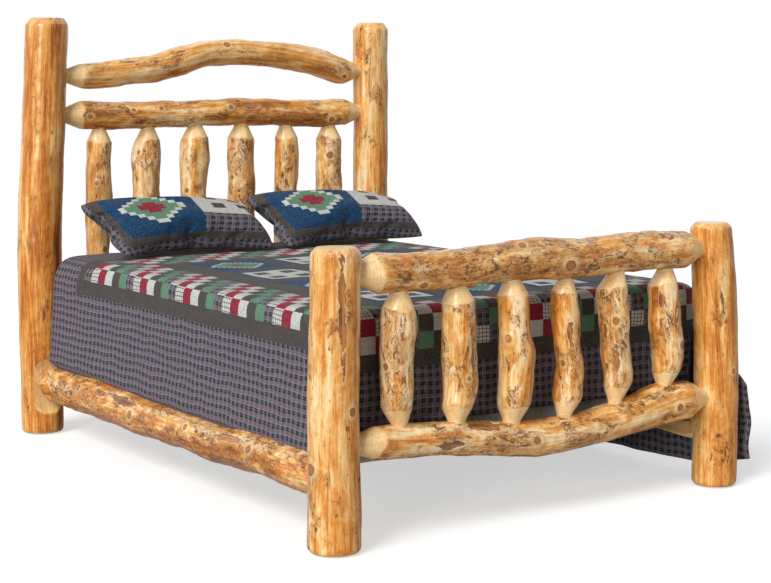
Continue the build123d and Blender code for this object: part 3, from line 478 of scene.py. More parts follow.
class LogWood(Finish):
    """Varnished peeled log while it is made, in the log's own grain space.

    The log's tone says how densely it is mottled, how strongly it is streaked and how dark it is; its
    darkness also carries painted shade towards one side of the log.
    """

    def __init__(self, logs):
        super().__init__("peeled_log", coat_weight=0.38, coat_roughness=0.16, specular_ior_level=0.25)
        self.logs = logs
        self.grain = self.attribute("grain").outputs["Vector"]
        self.mottle, self.streaky, self.dark = self.split(self.attribute("tone").outputs["Vector"])
        self.streak = self.layer(0.06, 78, 3, 0.6, 0.6)
        self.fibre = self.layer(0.04, 300, 4, 0.6)
        self.cloud = self.layer(0.55, 30, 6, 0.65, 0.8)
        self.speck = self.layer(0.5, 150, 5, 0.65, 0.8)

    def layer(self, stretch, scale, detail=4.0, rough=0.55, warp=0.0):
        """A noise that is drawn out along the grain."""
        return self.noise(self.stretched(self.grain, (1, 1, stretch)), scale, detail, rough, warp)

    def bare(self):
        """The peeled wood: streaks of three widths pick its colour from cream to brown."""
        logs = self.logs
        band = self.layer(0.09, 22, 3, 0.5, 0.4)
        # The tone's darkness, painted shade on one side of the log included, moves the ramp towards brown.
        tone = self.swing(
            self.math("ADD", self.product(self.dark, 0.9), 0.38),
            (band, self.product(self.streaky, 2.2)), (self.streak, self.product(self.streaky, 1.2)),
            (self.fibre, 0.7), (self.cloud, self.math("ADD", self.product(self.mottle, 1.6), 0.4)))
        return self.ramp(
            tone, (0.0, logs.cream), (0.25, logs.light), (0.50, logs.honey), (0.76, logs.amber),
            (1.0, logs.brown))

    def flecked(self, colour):
        """Inner bark in clusters, as flecks, scabs and winding lines, and lone flecks: colour and marks."""
        crowd = self.math("ADD", self.layer(0.5, 15, 4, 0.6, 0.6), self.product(self.mottle, 0.18))
        cluster = self.fade(crowd, 0.59, 0.67)
        fleck = self.fade(self.layer(0.4, 90, 3, 0.55, 1.8), 0.575, 0.605)
        scab = self.fade(self.layer(0.5, 34, 6, 0.72, 1.6), 0.54, 0.56)
        worm = self.line(self.layer(0.55, 40, 3, 0.6, 2.6), 0.5, 0.03)
        marks = self.math("MAXIMUM", self.product(fleck, 0.85), self.product(scab, 0.88))
        marks = self.product(cluster, self.math("MAXIMUM", marks, self.product(worm, 0.7)))
        rust = self.fade(self.layer(0.3, 40, 3), 0.35, 0.65)
        stain = self.mix(rust, self.logs.bark, srgb(122, 66, 34))
        lone = self.fade(self.layer(0.22, 95, 2, 0.5, 1.0), 0.70, 0.74)
        colour = self.over(colour, srgb(204, 134, 58), cluster, 0.35)
        colour = self.mix(marks, colour, stain)
        return self.over(colour, stain, lone, 0.7), marks

    def scarred(self, colour, scar):
        """Torn scars, by the uneven distance from each: inner wood, a pale lip and a dark rim."""
        torn = self.swing(scar, (self.speck, 1.0), (self.layer(0.5, 60, 3), 2.6))
        inner = self.mix(self.fade(self.streak, 0.42, 0.58), srgb(104, 60, 34), srgb(190, 124, 70))
        lip = self.product(self.fade(torn, 1.0, 1.15), self.fade(torn, 1.2, 1.7, 1, 0), 0.35)
        colour = self.mix(lip, colour, self.logs.cream)
        colour = self.mix(self.fade(torn, 0.9, 1.0, 0.85, 0), colour, inner)
        return self.over(colour, srgb(70, 38, 20), self.line(torn, 0.96, 0.11), 0.85)

    def knotted(self, colour, knot):
        """Knots: a pale halo, an amber ring, red-brown wood, two dark rings and a heart of bark."""
        away = self.swing(knot, (self.speck, 0.34), (self.cloud, 0.476))
        halo = self.product(self.fade(away, 0.9, 1.1), self.fade(away, 1.3, 2.7, 1, 0))
        colour = self.over(colour, srgb(248, 214, 154), halo, 0.5)
        colour = self.over(colour, self.logs.amber, self.line(away, 2.2, 0.22), 0.30)
        colour = self.mix(self.fade(away, 0.80, 0.95, 0.95, 0), colour, srgb(196, 122, 60))
        colour = self.over(colour, srgb(86, 46, 24), self.line(away, 0.86, 0.2), 0.92)
        colour = self.over(colour, srgb(112, 60, 30), self.line(away, 0.42, 0.2), 0.55)
        return self.mix(self.fade(away, 0.05, 0.2, 0.8, 0), colour, self.logs.bark)

    def bared(self, colour, cut, radius):
        """Pale cut wood with its growth lines, where a cut has gone through the skin."""
        logs = self.logs
        rings = self.math("FRACT", self.swing(self.product(radius, 240), (self.cloud, 3.0)))
        pale = self.ramp(
            self.swing(0.32, (self.streak, 1.3), (self.fibre, 1.2), (self.cloud, 1.6)),
            (0.0, logs.cream), (0.35, logs.cut), (0.7, logs.light), (1.0, logs.honey))
        pale = self.over(pale, logs.honey, self.line(rings, 0.5, 0.25), 0.34)
        edge = self.swing(cut, (self.speck, 0.8), (self.streak, 1.2), (self.cloud, 1.2))
        colour = self.mix(self.fade(edge, 0.12, 0.72, 0, 0.88), colour, pale)
        return self.over(colour, logs.amber, self.line(edge, 0.16, 0.12), 0.35)

    def checked(self, colour, across, open_share):
        """Drying checks: a dark split, painted shade down in a crack that the mesh does not open, with amber
        beside it: colour and split.
        """
        opened = self.product(self.line(across, 0.0, 1.0), open_share)
        beside = self.product(self.line(across, 0.0, 5.0), open_share)
        colour = self.over(colour, self.logs.amber, beside, 0.4)
        return self.over(colour, self.logs.bark, opened, 0.9), opened


def log_material(logs):
    """Peeled log: the bare wood, then bark, scars, knots, pale cuts and drying checks over it."""
    wood = LogWood(logs)
    knot, scar, radius = wood.split(wood.attribute("marks").outputs["Vector"])
    check_across, check_open, _ = wood.split(wood.attribute("check").outputs["Vector"])
    colour, marks = wood.flecked(wood.bare())
    colour = wood.knotted(wood.scarred(colour, scar), knot)
    colour = wood.bared(colour, wood.attribute("cut").outputs["Fac"], radius)
    colour, opened = wood.checked(colour, check_across, check_open)
    height = wood.swing(0.0, (wood.fibre, 0.5), (wood.speck, 0.35), (wood.cloud, 1.0))
    height = wood.math("SUBTRACT", height, wood.math("ADD", wood.product(opened, 2.0), marks))
    return wood.finish(
        base_color=colour, normal=wood.bump(height, 0.5 * MM, 0.7),
        roughness=wood.fade(wood.fibre, 0.3, 0.8, 0.30, 0.44))


# The waves of a log's skin: length in metres, share of the amplitude, turns round the log.
RIPPLES = ((0.62, 1.0, 1), (0.34, 0.9, 2), (0.21, 0.7, 1), (0.15, 0.5, 3),
           (0.085, 0.28, 2), (0.055, 0.2, 4), (0.036, 0.14, 5), (0.5, 0.45, 3))
CONE_START = 0.54            # radius of a cone where it meets its neighbour, as a share of the log's
BARED_DEPTH = 5 * MM         # how deep a cut goes before its wood is wholly pale
LEAST_HALF_LOG = 50 * MM     # rings of a side rail that are smaller belong to its ends
CHECK_RUN_OUT = 80 * MM      # over which a drying check closes at each end
BLUNT_RINGS = (0.86, 0.62, 0.36, 0.14)    # the rings of an end face, as shares of its radius
TENON_RINGS = (1, 0.95, 0.6, 0.25)        # the same with the tenon's own wall first
FLAT_MARGIN = 28 * MM        # a milled flat goes on past its plate by this much
CUTTER_RADIUS = 56 * MM      # the arc on which the cutter leaves the post


def ripple(seed, along, angle, amplitude):
    """A log's skin: sine waves along it and round it, the long ones high and the short ones low."""
    draw = np.random.default_rng(seed)
    height = np.zeros(np.broadcast(along, angle).shape)
    for length, share, turns in RIPPLES:
        length *= draw.uniform(0.8, 1.25)
        way = draw.choice((-1, 1))
        phase = TAU * along / length + way * turns * angle + draw.uniform(0, TAU)
        height += share * amplitude * np.sin(phase)
    return height


def turn_between(angle, centre):
    """The signed angle from centre to angle, between minus and plus half a turn."""
    return (angle - centre + np.pi) % TAU - np.pi


def log_spine(name, kind):
    """A log's two seats, where its cuts begin, the rings of its body, and all rings from seat to seat."""
    axis = AXES[kind][0]
    rings = node_rings(name, axis)
    low, high = (corner[axis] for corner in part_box(name))
    if kind.endswith("side"):
        rings = rings[rings[:, 3] > LEAST_HALF_LOG]
        seats = rings[[0, -1]]
        seats[:, 0] = low, high
        return seats, rings, rings
    if "_post_" in name:
        bevel = low - rings[0][0]
        rings = np.vstack([rings[0] + (bevel, 0, 0, bevel), rings])
    else:
        rings = rings[1:-1]
    return rings[[0, -1]], rings[1:-1], rings


def weathered(name, seed, s, a, skin):
    """A log's skin with its scars sunk in, its knots raised and its drying checks laid out.
    """
    knot, scar = np.full(skin.shape, FAR), np.full(skin.shape, FAR)
    bent = np.zeros(skin.shape)
    check = np.stack([knot, bent, bent], -1)
    for place, turn, half_length, half_width in SCARS.get(name, []):
        ahead = s - place * MM
        across = turn_between(a, np.radians(turn) + 0.5 * ahead) * skin / (half_width * MM)
        distance = np.sqrt((ahead / (half_length * MM)) ** 2 + across ** 2)
        scar = np.minimum(scar, distance)
        lip = np.exp(-((distance - 1.35) / 0.25) ** 2)
        skin = skin - 2.0 * MM * smooth_step(0, 0.5, 1.15 - distance) + 0.8 * MM * lip
    for place, turn, radius in KNOTS.get(name, []):
        across = turn_between(a, np.radians(turn))
        distance = np.hypot((s - place * MM) / 1.15, across * skin) / (radius * MM)
        knot = np.minimum(knot, distance)
        bent += across * 0.7 * np.exp(-(distance / 1.9) ** 2)
        swell = 0.22 * np.exp(-(distance / 1.5) ** 2) - 0.08 * np.exp(-(distance / 0.6) ** 2)
        skin = skin + radius * MM * swell
    for start, end, turn, half in CHECKS.get(name, []):
        wander = 0.05 * np.sin(s * 23 + seed)
        across = turn_between(a, np.radians(turn) + wander) * skin / (half * MM)
        opening = smooth_step(start * MM, start * MM + CHECK_RUN_OUT, s)
        closing = smooth_step(end * MM - CHECK_RUN_OUT, end * MM, s)
        near = np.abs(across) < np.abs(check[..., 0])
        check[..., 0] = np.where(near, across, check[..., 0])
        check[..., 1] = np.where(near, opening * (1 - closing), check[..., 1])
    return skin, knot, scar, bent, check


def shaved_ends(seats, body, s, a, seed, post):
    """The radius that the cuts at the ends leave: straight from each seat to the next ring, in facets."""
    draw = np.random.default_rng(seed + 500)
    narrow, broad = (0.004, 0.006) if post else (0.012, 0.014)
    shaved = np.ones(np.broadcast(s, a).shape)
    for seat, ring, way in ((seats[0], body[0], 1), (seats[1], body[-1], -1)):
        share = way * (s - seat[0]) / abs(ring[0] - seat[0])
        start = seat[3] if post else max(seat[3], CONE_START * ring[3])
        facets = 1 + narrow * np.sin(7 * a + draw.uniform(0, TAU))
        facets = facets + broad * np.sin(4 * a + draw.uniform(0, TAU))
        shaved = np.minimum(shaved, (start + share * (ring[3] - start)) * facets)
    return shaved


def with_poles(values):
    """The values of a tube's rings in one list, between the means of its first and last rings."""
    flat = values.reshape(-1, *values.shape[2:])
    return np.concatenate([values[0].mean(0)[None], flat, values[-1].mean(0)[None]])


def log_piece(logs, material, name, kind, seed, columns):
    """One log: radius(along, angle) is the lesser of its skin and of the cuts at its two ends.

    The skin follows a smooth curve through the frame's rings, plus ripples and knots. A cut is a cone
    from the tenon, or the bevel of a post, and beyond it the tenon goes on at its own radius.
    """
    axis, front, side = AXES[kind]
    post, half_log = "_post_" in name, kind.endswith("side")
    low, high = (corner[axis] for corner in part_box(name))
    seats, body, rings = log_spine(name, kind)
    first, last = seats[:, 0]
    steps = int(round((last - first) / logs.step))
    along = first + (last - first) * np.arange(steps + 1) / steps
    s, a = along[:, None], (np.arange(columns) * TAU / columns)[None, :]
    centre = np.stack([smooth_through(rings[:, 0], rings[:, k], along) for k in (1, 2)], -1)
    skin = smooth_through(body[:, 0], body[:, 3], along)[:, None]
    skin = skin + ripple(seed, s, a, logs.waviness * (0.45 if post else 1))
    skin = skin * (1 + 0.015 * np.cos(2 * a + seed))
    skin, knot, scar, bent, check = weathered(name, seed, s, a, skin)
    shaved = np.ones(skin.shape) if half_log else shaved_ends(seats, body, s, a, seed, post)
    radius = soft_least(skin, shaved, (2.5 if post else 0.7) * MM)
    cut = np.clip((skin - shaved) / BARED_DEPTH, 0, 0.34 if post else 1.0)
    marks = np.stack([knot, scar, radius], -1)
    label = a - bent

    def end_rings(seat, end, way):
        """The rings that close an end: along the tenon, where there is one, and in over the face."""
        reach = [end if post or half_log else end - way * MM, end, end, end]
        width, clear, bare = radius[seat], np.full(columns, FAR), np.ones(columns)
        closing = [
            (np.full(columns, place), width * share, bare, np.stack([clear, clear, width * share], -1),
             check[seat], centre[seat], label[seat])
            for place, share in zip(reach, BLUNT_RINGS if post or half_log else TENON_RINGS)]
        return closing[::way]

    place = np.repeat(s, columns, 1)
    middle = list(zip(place, radius, cut, marks, check, centre, label))
    whole = end_rings(0, low, -1) + middle + end_rings(-1, high, 1)
    place, radius, cut, marks, check, centre, label = (np.array(part) for part in zip(*whole))

    points = np.zeros((*radius.shape, 3))
    points[..., axis] = place
    points[..., [k for k in range(3) if k != axis]] = centre[:, None]
    outwards = np.cos(a)[..., None] * np.array(front, float) + np.sin(a)[..., None] * np.array(side, float)
    points += radius[..., None] * outwards
    grain = np.stack([radius * np.cos(label), radius * np.sin(label), place], -1)
    grain += np.random.default_rng(seed + 900).uniform(-4, 4, 3)
    if half_log:
        face, sign = seats[0, 1], front[0]
        points[..., 0] = sign * np.maximum(sign * points[..., 0], sign * face)
        cut = np.where(np.abs(points[..., 0] - face) < 0.1 * MM, 1.0, cut)
    if post:
        points, cut = milled_flat(points, cut, name)

    # Painted shade: the log's darkness grows towards one side, where its light falls off.
    turn, depth = SHADED_SIDES.get(name, (0, 0.0))
    shade = np.broadcast_to(depth * (0.25 + 0.75 * np.cos(a - np.radians(turn))), radius.shape)
    points = with_poles(points)
    tone = np.tile(TONES.get(name, (0.5, 0.9, 0.1)), (len(points), 1))
    tone[:, 2] += with_poles(shade)
    piece = new_piece(
        name + "_log", points, outward(points, tube_faces(len(radius), columns)), material,
        {"grain": with_poles(grain), "cut": with_poles(cut), "marks": with_poles(marks),
         "check": with_poles(check), "tone": tone})
    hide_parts(name)
    return piece


def milled_flat(points, cut, name):
    """A post's flat: nothing stands out past a plane, which swings out at both ends on an arc."""
    end = name[:4]
    low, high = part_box(f"slot_plate_{end}_{name.split('_')[-1]}")
    toward = -1 if end == "head" else 1
    plane = low[1] if toward < 0 else high[1]
    middle, half = (low[2] + high[2]) / 2, (high[2] - low[2]) / 2 + FLAT_MARGIN
    past = np.clip(np.abs(points[..., 2] - middle) - half, 0, None)
    rise = CUTTER_RADIUS - np.sqrt(np.clip(CUTTER_RADIUS ** 2 - past ** 2, 0, None))
    rise = np.where(past > CUTTER_RADIUS, 1.0, rise)
    limit = plane + toward * rise
    over = toward * (points[..., 1] - limit)
    points[..., 1] = np.where(over > 0, limit, points[..., 1])
    return points, np.maximum(cut, 0.56 * smooth_step(0.0, 0.6 * MM, over))


def sawn_material(name, along, roughness, light, lighter, line_colour):
    """Sawn softwood with its bands and growth lines drawn out along one of its Object coordinates."""
    wood = Finish(name, roughness=roughness)
    place = wood.object_place()

    def drawn(stretch, scale, *rest):
        factors = [stretch if k == along else 1 for k in range(3)]
        return wood.noise(wood.stretched(place, factors), scale, *rest)

    line, band = drawn(0.04, 150, 5, 0.6), drawn(0.1, 30, 3)
    colour = wood.mix(wood.fade(band, 0.35, 0.65), light, lighter)
    colour = wood.mix(wood.fade(line, 0.5, 0.75, 0, 0.5), colour, line_colour)
    return wood.finish(base_color=colour, normal=wood.bump(line, 0.3 * MM, 0.5))


def steel_material():
    """Zinc-plated steel with fine rolling lines and cloudy spangle."""
    steel = Finish("zinc_steel", metallic=1.0, roughness=0.36)
    place = steel.object_place()
    line = steel.noise(steel.stretched(place, (1, 1, 0.04)), 900, 3)
    cloud = steel.noise(place, 90, 4)
    colour = steel.mix(steel.fade(cloud, 0.4, 0.6), (0.50, 0.50, 0.47), (0.63, 0.62, 0.58))
    return steel.finish(
        base_color=colour, roughness=steel.fade(cloud, 0.35, 0.65, 0.28, 0.44),
        normal=steel.bump(line, 0.05 * MM, 0.4))


def glide_material():
    """Moulded brown plastic with a faint orange-peel skin."""
    plastic = Finish("glide_plastic", roughness=0.46)
    place = plastic.object_place()
    peel = plastic.noise(place, 900, 2)
    tint = plastic.noise(place, 40, 2)
    colour = plastic.mix(plastic.fade(tint, 0.4, 0.6), (0.060, 0.045, 0.035), (0.085, 0.062, 0.047))
    return plastic.finish(base_color=colour, normal=plastic.bump(peel, 0.08 * MM, 0.4))


# ---------------------------------------------------------------- cloth


PLAID_REPEAT = 29.2          # millimetres from one dark band of the plaid to the next
CHECK_REPEATS = (14.6, 12.5)              # the same for the two ways of the white check
PALE_THREAD = srgb(190, 188, 196)


class QuiltCotton(Finish):
    """Printed and quilted cotton while it is made, on the cloth's own flat map."""

    def __init__(self):
        super().__init__(
            "quilted_cotton", roughness=0.92, specular_ior_level=0.15, sheen_weight=0.08, sheen_roughness=0.5)
        self.flat = self.node("ShaderNodeUVMap", {"uv_map": "flat"}).outputs[0]
        self.u, self.v, _ = self.split(self.warped(self.flat, 9, 26 * MM))

    def stripe(self, value, repeat, offset, half):
        """1 within half of a line that repeats along the value, both in shares of the repeat."""
        turns = self.math("ADD", self.math("DIVIDE", value, repeat * MM), offset + 100.0)
        return self.fade(self.apart(self.math("FRACT", turns)), half, half + 0.06, 1, 0)

    def grid(self, offset, halves, repeats=(PLAID_REPEAT, PLAID_REPEAT)):
        """Stripes both ways: where either of them is, and where they cross."""
        both = [self.stripe(*line) for line in zip((self.u, self.v), repeats, (offset, offset), halves)]
        return self.math("MAXIMUM", *both), self.product(*both)

    def plaid(self, dye):
        """Dark bands and pink lines both ways, deeper where they cross, and fine pale threads."""
        band, band_crossing = self.grid(0.5, (0.23, 0.25))
        pink, pink_crossing = self.grid(0.0, (0.07, 0.07))
        woven = self.over(dye, srgb(36, 50, 58), band, 0.46)
        woven = self.mix(band_crossing, woven, srgb(0, 26, 26))
        woven = self.over(woven, srgb(138, 82, 108), pink, 0.24)
        woven = self.over(woven, srgb(170, 52, 100), pink_crossing, 0.75)
        woven = self.over(woven, PALE_THREAD, self.grid(0.24, (0.012, 0.012))[0], 0.34)
        return self.over(woven, PALE_THREAD, self.grid(0.5, (0.0, 0.0))[0], 0.16)


def quilt_material():
    """Quilted cotton: each patch's dye as a mottled print, a fine check or a plaid, and the stitching, with
    painted shade in the dips along it.
    """
    cloth = QuiltCotton()
    dye = cloth.attribute("dye").outputs["Color"]
    plaid = cloth.attribute("plaid").outputs["Fac"]
    mottle = cloth.noise(cloth.flat, 160, 6, 0.7)
    blotch = cloth.noise(cloth.flat, 240, 4, 0.7, 0.8)
    printed = cloth.mix(cloth.fade(mottle, 0.42, 0.62, 0, 0.35), dye, (0.02, 0.02, 0.02), "MULTIPLY")
    printed = cloth.mix(cloth.fade(blotch, 0.54, 0.66, 0, 0.16), printed, (0.9, 0.9, 0.88))
    check = cloth.over(dye, srgb(34, 36, 40), cloth.grid(0.0, (0.08, 0.08), CHECK_REPEATS)[0], 0.8)
    woven = cloth.mix(cloth.fade(plaid, 0.6, 0.9), check, cloth.plaid(dye))
    colour = cloth.mix(cloth.fade(plaid, 0.1, 0.4), printed, woven)

    from_stitch = cloth.apart(cloth.noise(cloth.flat, 34, 2, 0.5, 1.4))
    # Darker along the stitch lines: the thread, and painted shade in the dip that the stitching pulls in.
    colour = cloth.over(colour, (0.03, 0.03, 0.03), cloth.fade(from_stitch, 0.0, 0.022, 1, 0), 0.25)
    puffed = cloth.bump(cloth.fade(from_stitch, 0.0, 0.10), 1.6 * MM, 0.55)
    weave = cloth.noise(cloth.flat, 1500, 2)
    return cloth.finish(base_color=colour, normal=cloth.bump(weave, 0.12 * MM, 0.4, puffed))


def ticking_material(name, ground, stripe):
    """Mattress ticking: narrow woven stripes down the sides and a soft twill."""
    cloth = Finish(name, roughness=0.85, sheen_weight=0.2)
    place = cloth.object_place()
    x, y, _ = cloth.split(place)
    run = cloth.math("ADD", cloth.math("ADD", x, y), 10.0)
    phase = cloth.math("FRACT", cloth.product(run, 42.0))
    line = cloth.fade(cloth.apart(phase), 0.08, 0.14, 1, 0)
    cloud = cloth.noise(place, 14, 3)
    colour = cloth.mix(cloth.fade(cloud, 0.35, 0.65, 0, 0.3), ground, (0.5, 0.48, 0.44))
    colour = cloth.over(colour, stripe, line, 0.55)
    twill = cloth.noise(place, 1200, 2)
    return cloth.finish(base_color=colour, normal=cloth.bump(twill, 0.2 * MM, 0.5))


# ---------------------------------------------------------------- quilt


def stepped_diamond(x, y, step, reach):
    """Prints of a diamond cut in steps on blue: a white edge, green inside it and a red middle."""
    steps = np.floor(np.abs(x) / step) + np.floor(np.abs(y) / step)
    return np.select([steps <= 1, steps < reach, steps <= reach], ["red", "green", "white"], "blue")


def window_block(x, y, size):
    """Prints of a white square with four charcoal blocks of the size round its middle."""
    blocks = (np.abs(np.abs(x) - size) < size / 2) & (np.abs(np.abs(y) - size) < size / 2)
    return np.where(blocks, "charcoal", "white")


class Patchwork:
    """The quilt's cut: square patches in steps round a middle of pieced blocks, then two borders."""

    HEAD_LINE = 745 * MM      # where the steps begin, from the bed's middle towards the head
    ACROSS = 29               # patches across the stepped field
    ALONG = 33                # patches along it
    STEPS = 4                 # rows of steps on each side
    PRINTS = ("check", "red", "white", "charcoal", "green", "plaid")

    def __init__(self, quilt):
        self.patch = quilt.patch
        self.cell = quilt.patch / 4
        self.half = self.ACROSS * quilt.patch / 2
        self.dyes = {
            "charcoal": quilt.charcoal, "plaid": quilt.plaid, "red": quilt.red, "white": quilt.white,
            "green": quilt.green, "blue": quilt.blue, "check": quilt.white,
        }

    def prints(self, u, v):
        """The name of the print at each flat place, from how many patches it lies inside each edge."""
        across = np.floor((u + self.half) / self.patch).astype(int)
        along = np.floor((self.HEAD_LINE - v) / self.patch).astype(int)
        sides = np.minimum(across, self.ACROSS - 1 - across)
        ends = np.minimum(along, self.ALONG - 1 - along)
        depth = np.minimum(sides, ends)
        at_foot = along > self.ALONG // 2
        number = np.where(
            sides <= ends, along + sides - 1,
            np.where(at_foot, -across - ends - 1, across + ends + 2)) % len(self.PRINTS)
        name = np.array(self.PRINTS, object)[number]
        name[depth >= self.STEPS] = "charcoal"
        name[depth == -1] = "charcoal"
        name[depth < -1] = "plaid"
        inside = depth > self.STEPS
        name[inside] = self.blocks(u[inside], v[inside], across[inside], along[inside])
        return name

    def blocks(self, u, v, across, along):
        """Blocks of five patches with a charcoal sash between them: diamonds and windows in turn."""
        first = self.STEPS + 1
        column, row = across - first - 1, along - first
        x = u + self.half - (first + 3.5 + column // 6 * 6) * self.patch
        y = self.HEAD_LINE - v - (first + 2.5 + row // 6 * 6) * self.patch
        framed = np.maximum(np.abs(x), np.abs(y)) > 2 * self.patch
        window = np.where(framed, "blue", window_block(x, y, self.patch))
        diamond = (column // 6 + row // 6) % 2 == 0
        name = np.where(diamond, stepped_diamond(x, y, self.cell, 7), window).astype(object)
        name[(column % 6 == 5) | (row % 6 == 5)] = "charcoal"
        return name

    def colour(self, names):
        """Dye and share of plaid for each print."""
        dye = np.array([(*self.dyes[name], 1.0) for name in names])
        plaid = np.array([{"plaid": 1.0, "check": 0.5}.get(name, 0.0) for name in names])
        return dye, plaid


class QuiltForm:
    """The quilt's resting form: where each flat place of it lies on the bed."""

    INSET_X = 716 * MM        # where the top begins to turn down, from the middle
    INSET_Y = -972 * MM
    TOP_Z = 721.5 * MM
    CORNER_CELLS = 2          # cells of the top that the rounded foot corners take
    EASE = 2                  # cells by which the top is stretched along the bed
    HEAD_Y = 1010 * MM        # where the top ends under the pillows
    # Each drop's outline in millimetres: how far out from the top's edge, and the height.
    LEFT = ((0, 721.5), (12, 720.5), (30, 715), (42, 704), (48, 690), (49.5, 672), (50.5, 640), (54, 546),
            (63, 425), (76, 292), (74, 280), (66, 271), (56, 262), (53, 225))
    FOOT = ((0, 721.5), (12, 720.5), (32, 715), (45, 702), (51, 685), (52, 640), (52, 450), (52, 300))
    RIGHT = ((0, 721.5), (12, 720.5), (30, 715), (42, 704), (48, 690), (50, 660), (52, 580), (92, 460),
             (146, 297), (152, 22), (152, -60))

    def __init__(self, work):
        self.cell = work.cell
        self.half_cells = int(self.INSET_X / work.cell + 0.5)
        self.flat_half = self.half_cells * work.cell
        count = int((work.HEAD_LINE - self.INSET_Y) / work.cell + 0.5) - self.EASE
        above = int((self.HEAD_Y - work.HEAD_LINE) / work.cell)
        number = np.arange(-above, count + 1)
        self.lines = np.r_[self.HEAD_Y, work.HEAD_LINE - work.cell * number]
        pitch = np.where(number < 0, work.cell, (work.HEAD_LINE - self.INSET_Y) / count)
        self.places = np.r_[self.HEAD_Y, work.HEAD_LINE - pitch * number]
        self.foot_flat = self.lines[-1]

    @staticmethod
    def along_profile(profile, depth):
        """Offset and height of a drop at each depth, measured along its outline."""
        outline = np.array(profile) * MM
        run = np.r_[0, np.cumsum(np.hypot(*np.diff(outline, axis=0).T))]
        return np.interp(depth, run, outline[:, 0]), np.interp(depth, run, outline[:, 1])

    def top(self):
        """The top: a low crown over a rounded rectangle, with the corner squares bent into quadrants."""
        flat_x = self.cell * np.arange(-self.half_cells, self.half_cells + 1)
        x, y = np.meshgrid(flat_x * (self.INSET_X / self.flat_half), self.places)
        flat = np.stack(np.meshgrid(flat_x, self.lines), -1)
        size = self.CORNER_CELLS * self.cell
        p = np.clip((np.abs(x) - (self.INSET_X - size)) / size, 0, 1)
        q = np.clip(((self.INSET_Y + size) - y) / size, 0, 1)
        inside = (p > 0) & (q > 0)
        x = np.where(inside, np.sign(x) * (self.INSET_X - size + size * p * np.sqrt(1 - q ** 2 / 2)), x)
        y = np.where(inside, self.INSET_Y + size - size * q * np.sqrt(1 - p ** 2 / 2), y)
        crown = 4 * MM * (1 - (x / self.INSET_X) ** 2) * smooth_step(0, 0.25, y - self.INSET_Y)
        still = smooth_step(0, 0.1, self.INSET_X - np.abs(x)) * smooth_step(0, 0.1, y - self.INSET_Y)
        z = self.TOP_Z + crown + self.wrinkle(x, y) * still
        return np.stack([x, y, z], -1), flat

    @staticmethod
    def wrinkle(x, y):
        """Soft waves of a quilt that was smoothed by hand, in metres."""
        wave = np.sin(TAU * (x / 0.31 + y / 0.47)) + 0.7 * np.sin(TAU * (y / 0.22 - x / 0.61) + 1.3)
        return 0.9 * MM * (wave + 0.6 * np.sin(TAU * (x / 0.14 + y / 0.33) + 0.4))


def grid_faces(rows, columns, keep=None):
    """The quads of a grid of rows times columns vertices, or those of them that keep marks."""
    index = np.arange(rows * columns).reshape(rows, columns)
    quads = np.stack([index[:-1, :-1], index[1:, :-1], index[1:, 1:], index[:-1, 1:]], -1)
    return quads.reshape(-1, 4) if keep is None else quads[keep]


# The folds of the right skirt: length in metres, depth in millimetres, phase.
RIGHT_FOLDS = ((0.43, 15, 0.4), (0.27, 9, 2.1), (0.16, 4, 4.0), (0.71, 8, 1.1))
LEFT_DROP, FOOT_DROP, RIGHT_DROP = 37, 29, 52     # cells that hang down on each side
EAR_START, EAR_FULL = -760 * MM, -1020 * MM       # between which the right skirt swings out
EAR_TOP = 9                  # cells below the top's edge at which the ear begins
EAR_REACH = 14               # cells that the ear goes on past the right skirt
SKIRT_SWING = 78 * MM        # how far out the ear swings
HEAD_FULLNESS = 28 * MM      # how far the left side stands out near the head
SHOULDER_DROP = 5 * MM       # how far the quilt's edges sink beside the pillows


def right_drop(form, y, depth):
    """The right skirt: its profile, with folds that deepen downwards, swung out before the foot post."""
    offset, z = form.along_profile(form.RIGHT, depth)
    hang = smooth_step(0.15, 0.6, depth)
    folds = sum(size * MM * np.sin(TAU * y / length + phase) for length, size, phase in RIGHT_FOLDS)
    swing = 1 - smooth_step(EAR_FULL, EAR_START, y)
    settle = 1 - swing
    x = form.INSET_X + offset + hang * folds * (0.35 + 0.65 * settle) * settle
    x = x + SKIRT_SWING * swing * smooth_step(0.04, 0.40, depth)
    x = x + 7 * MM * swing * hang * np.sin(TAU * depth / 0.17)
    return np.stack(np.broadcast_arrays(x, y, z), -1)


def whole_panel(points, flat):
    """A grid of the quilt as its points, its quads and the flat place of each quad's corners."""
    quads = grid_faces(*points.shape[:2])
    return points.reshape(-1, 3), quads, flat.reshape(-1, 2)[quads]


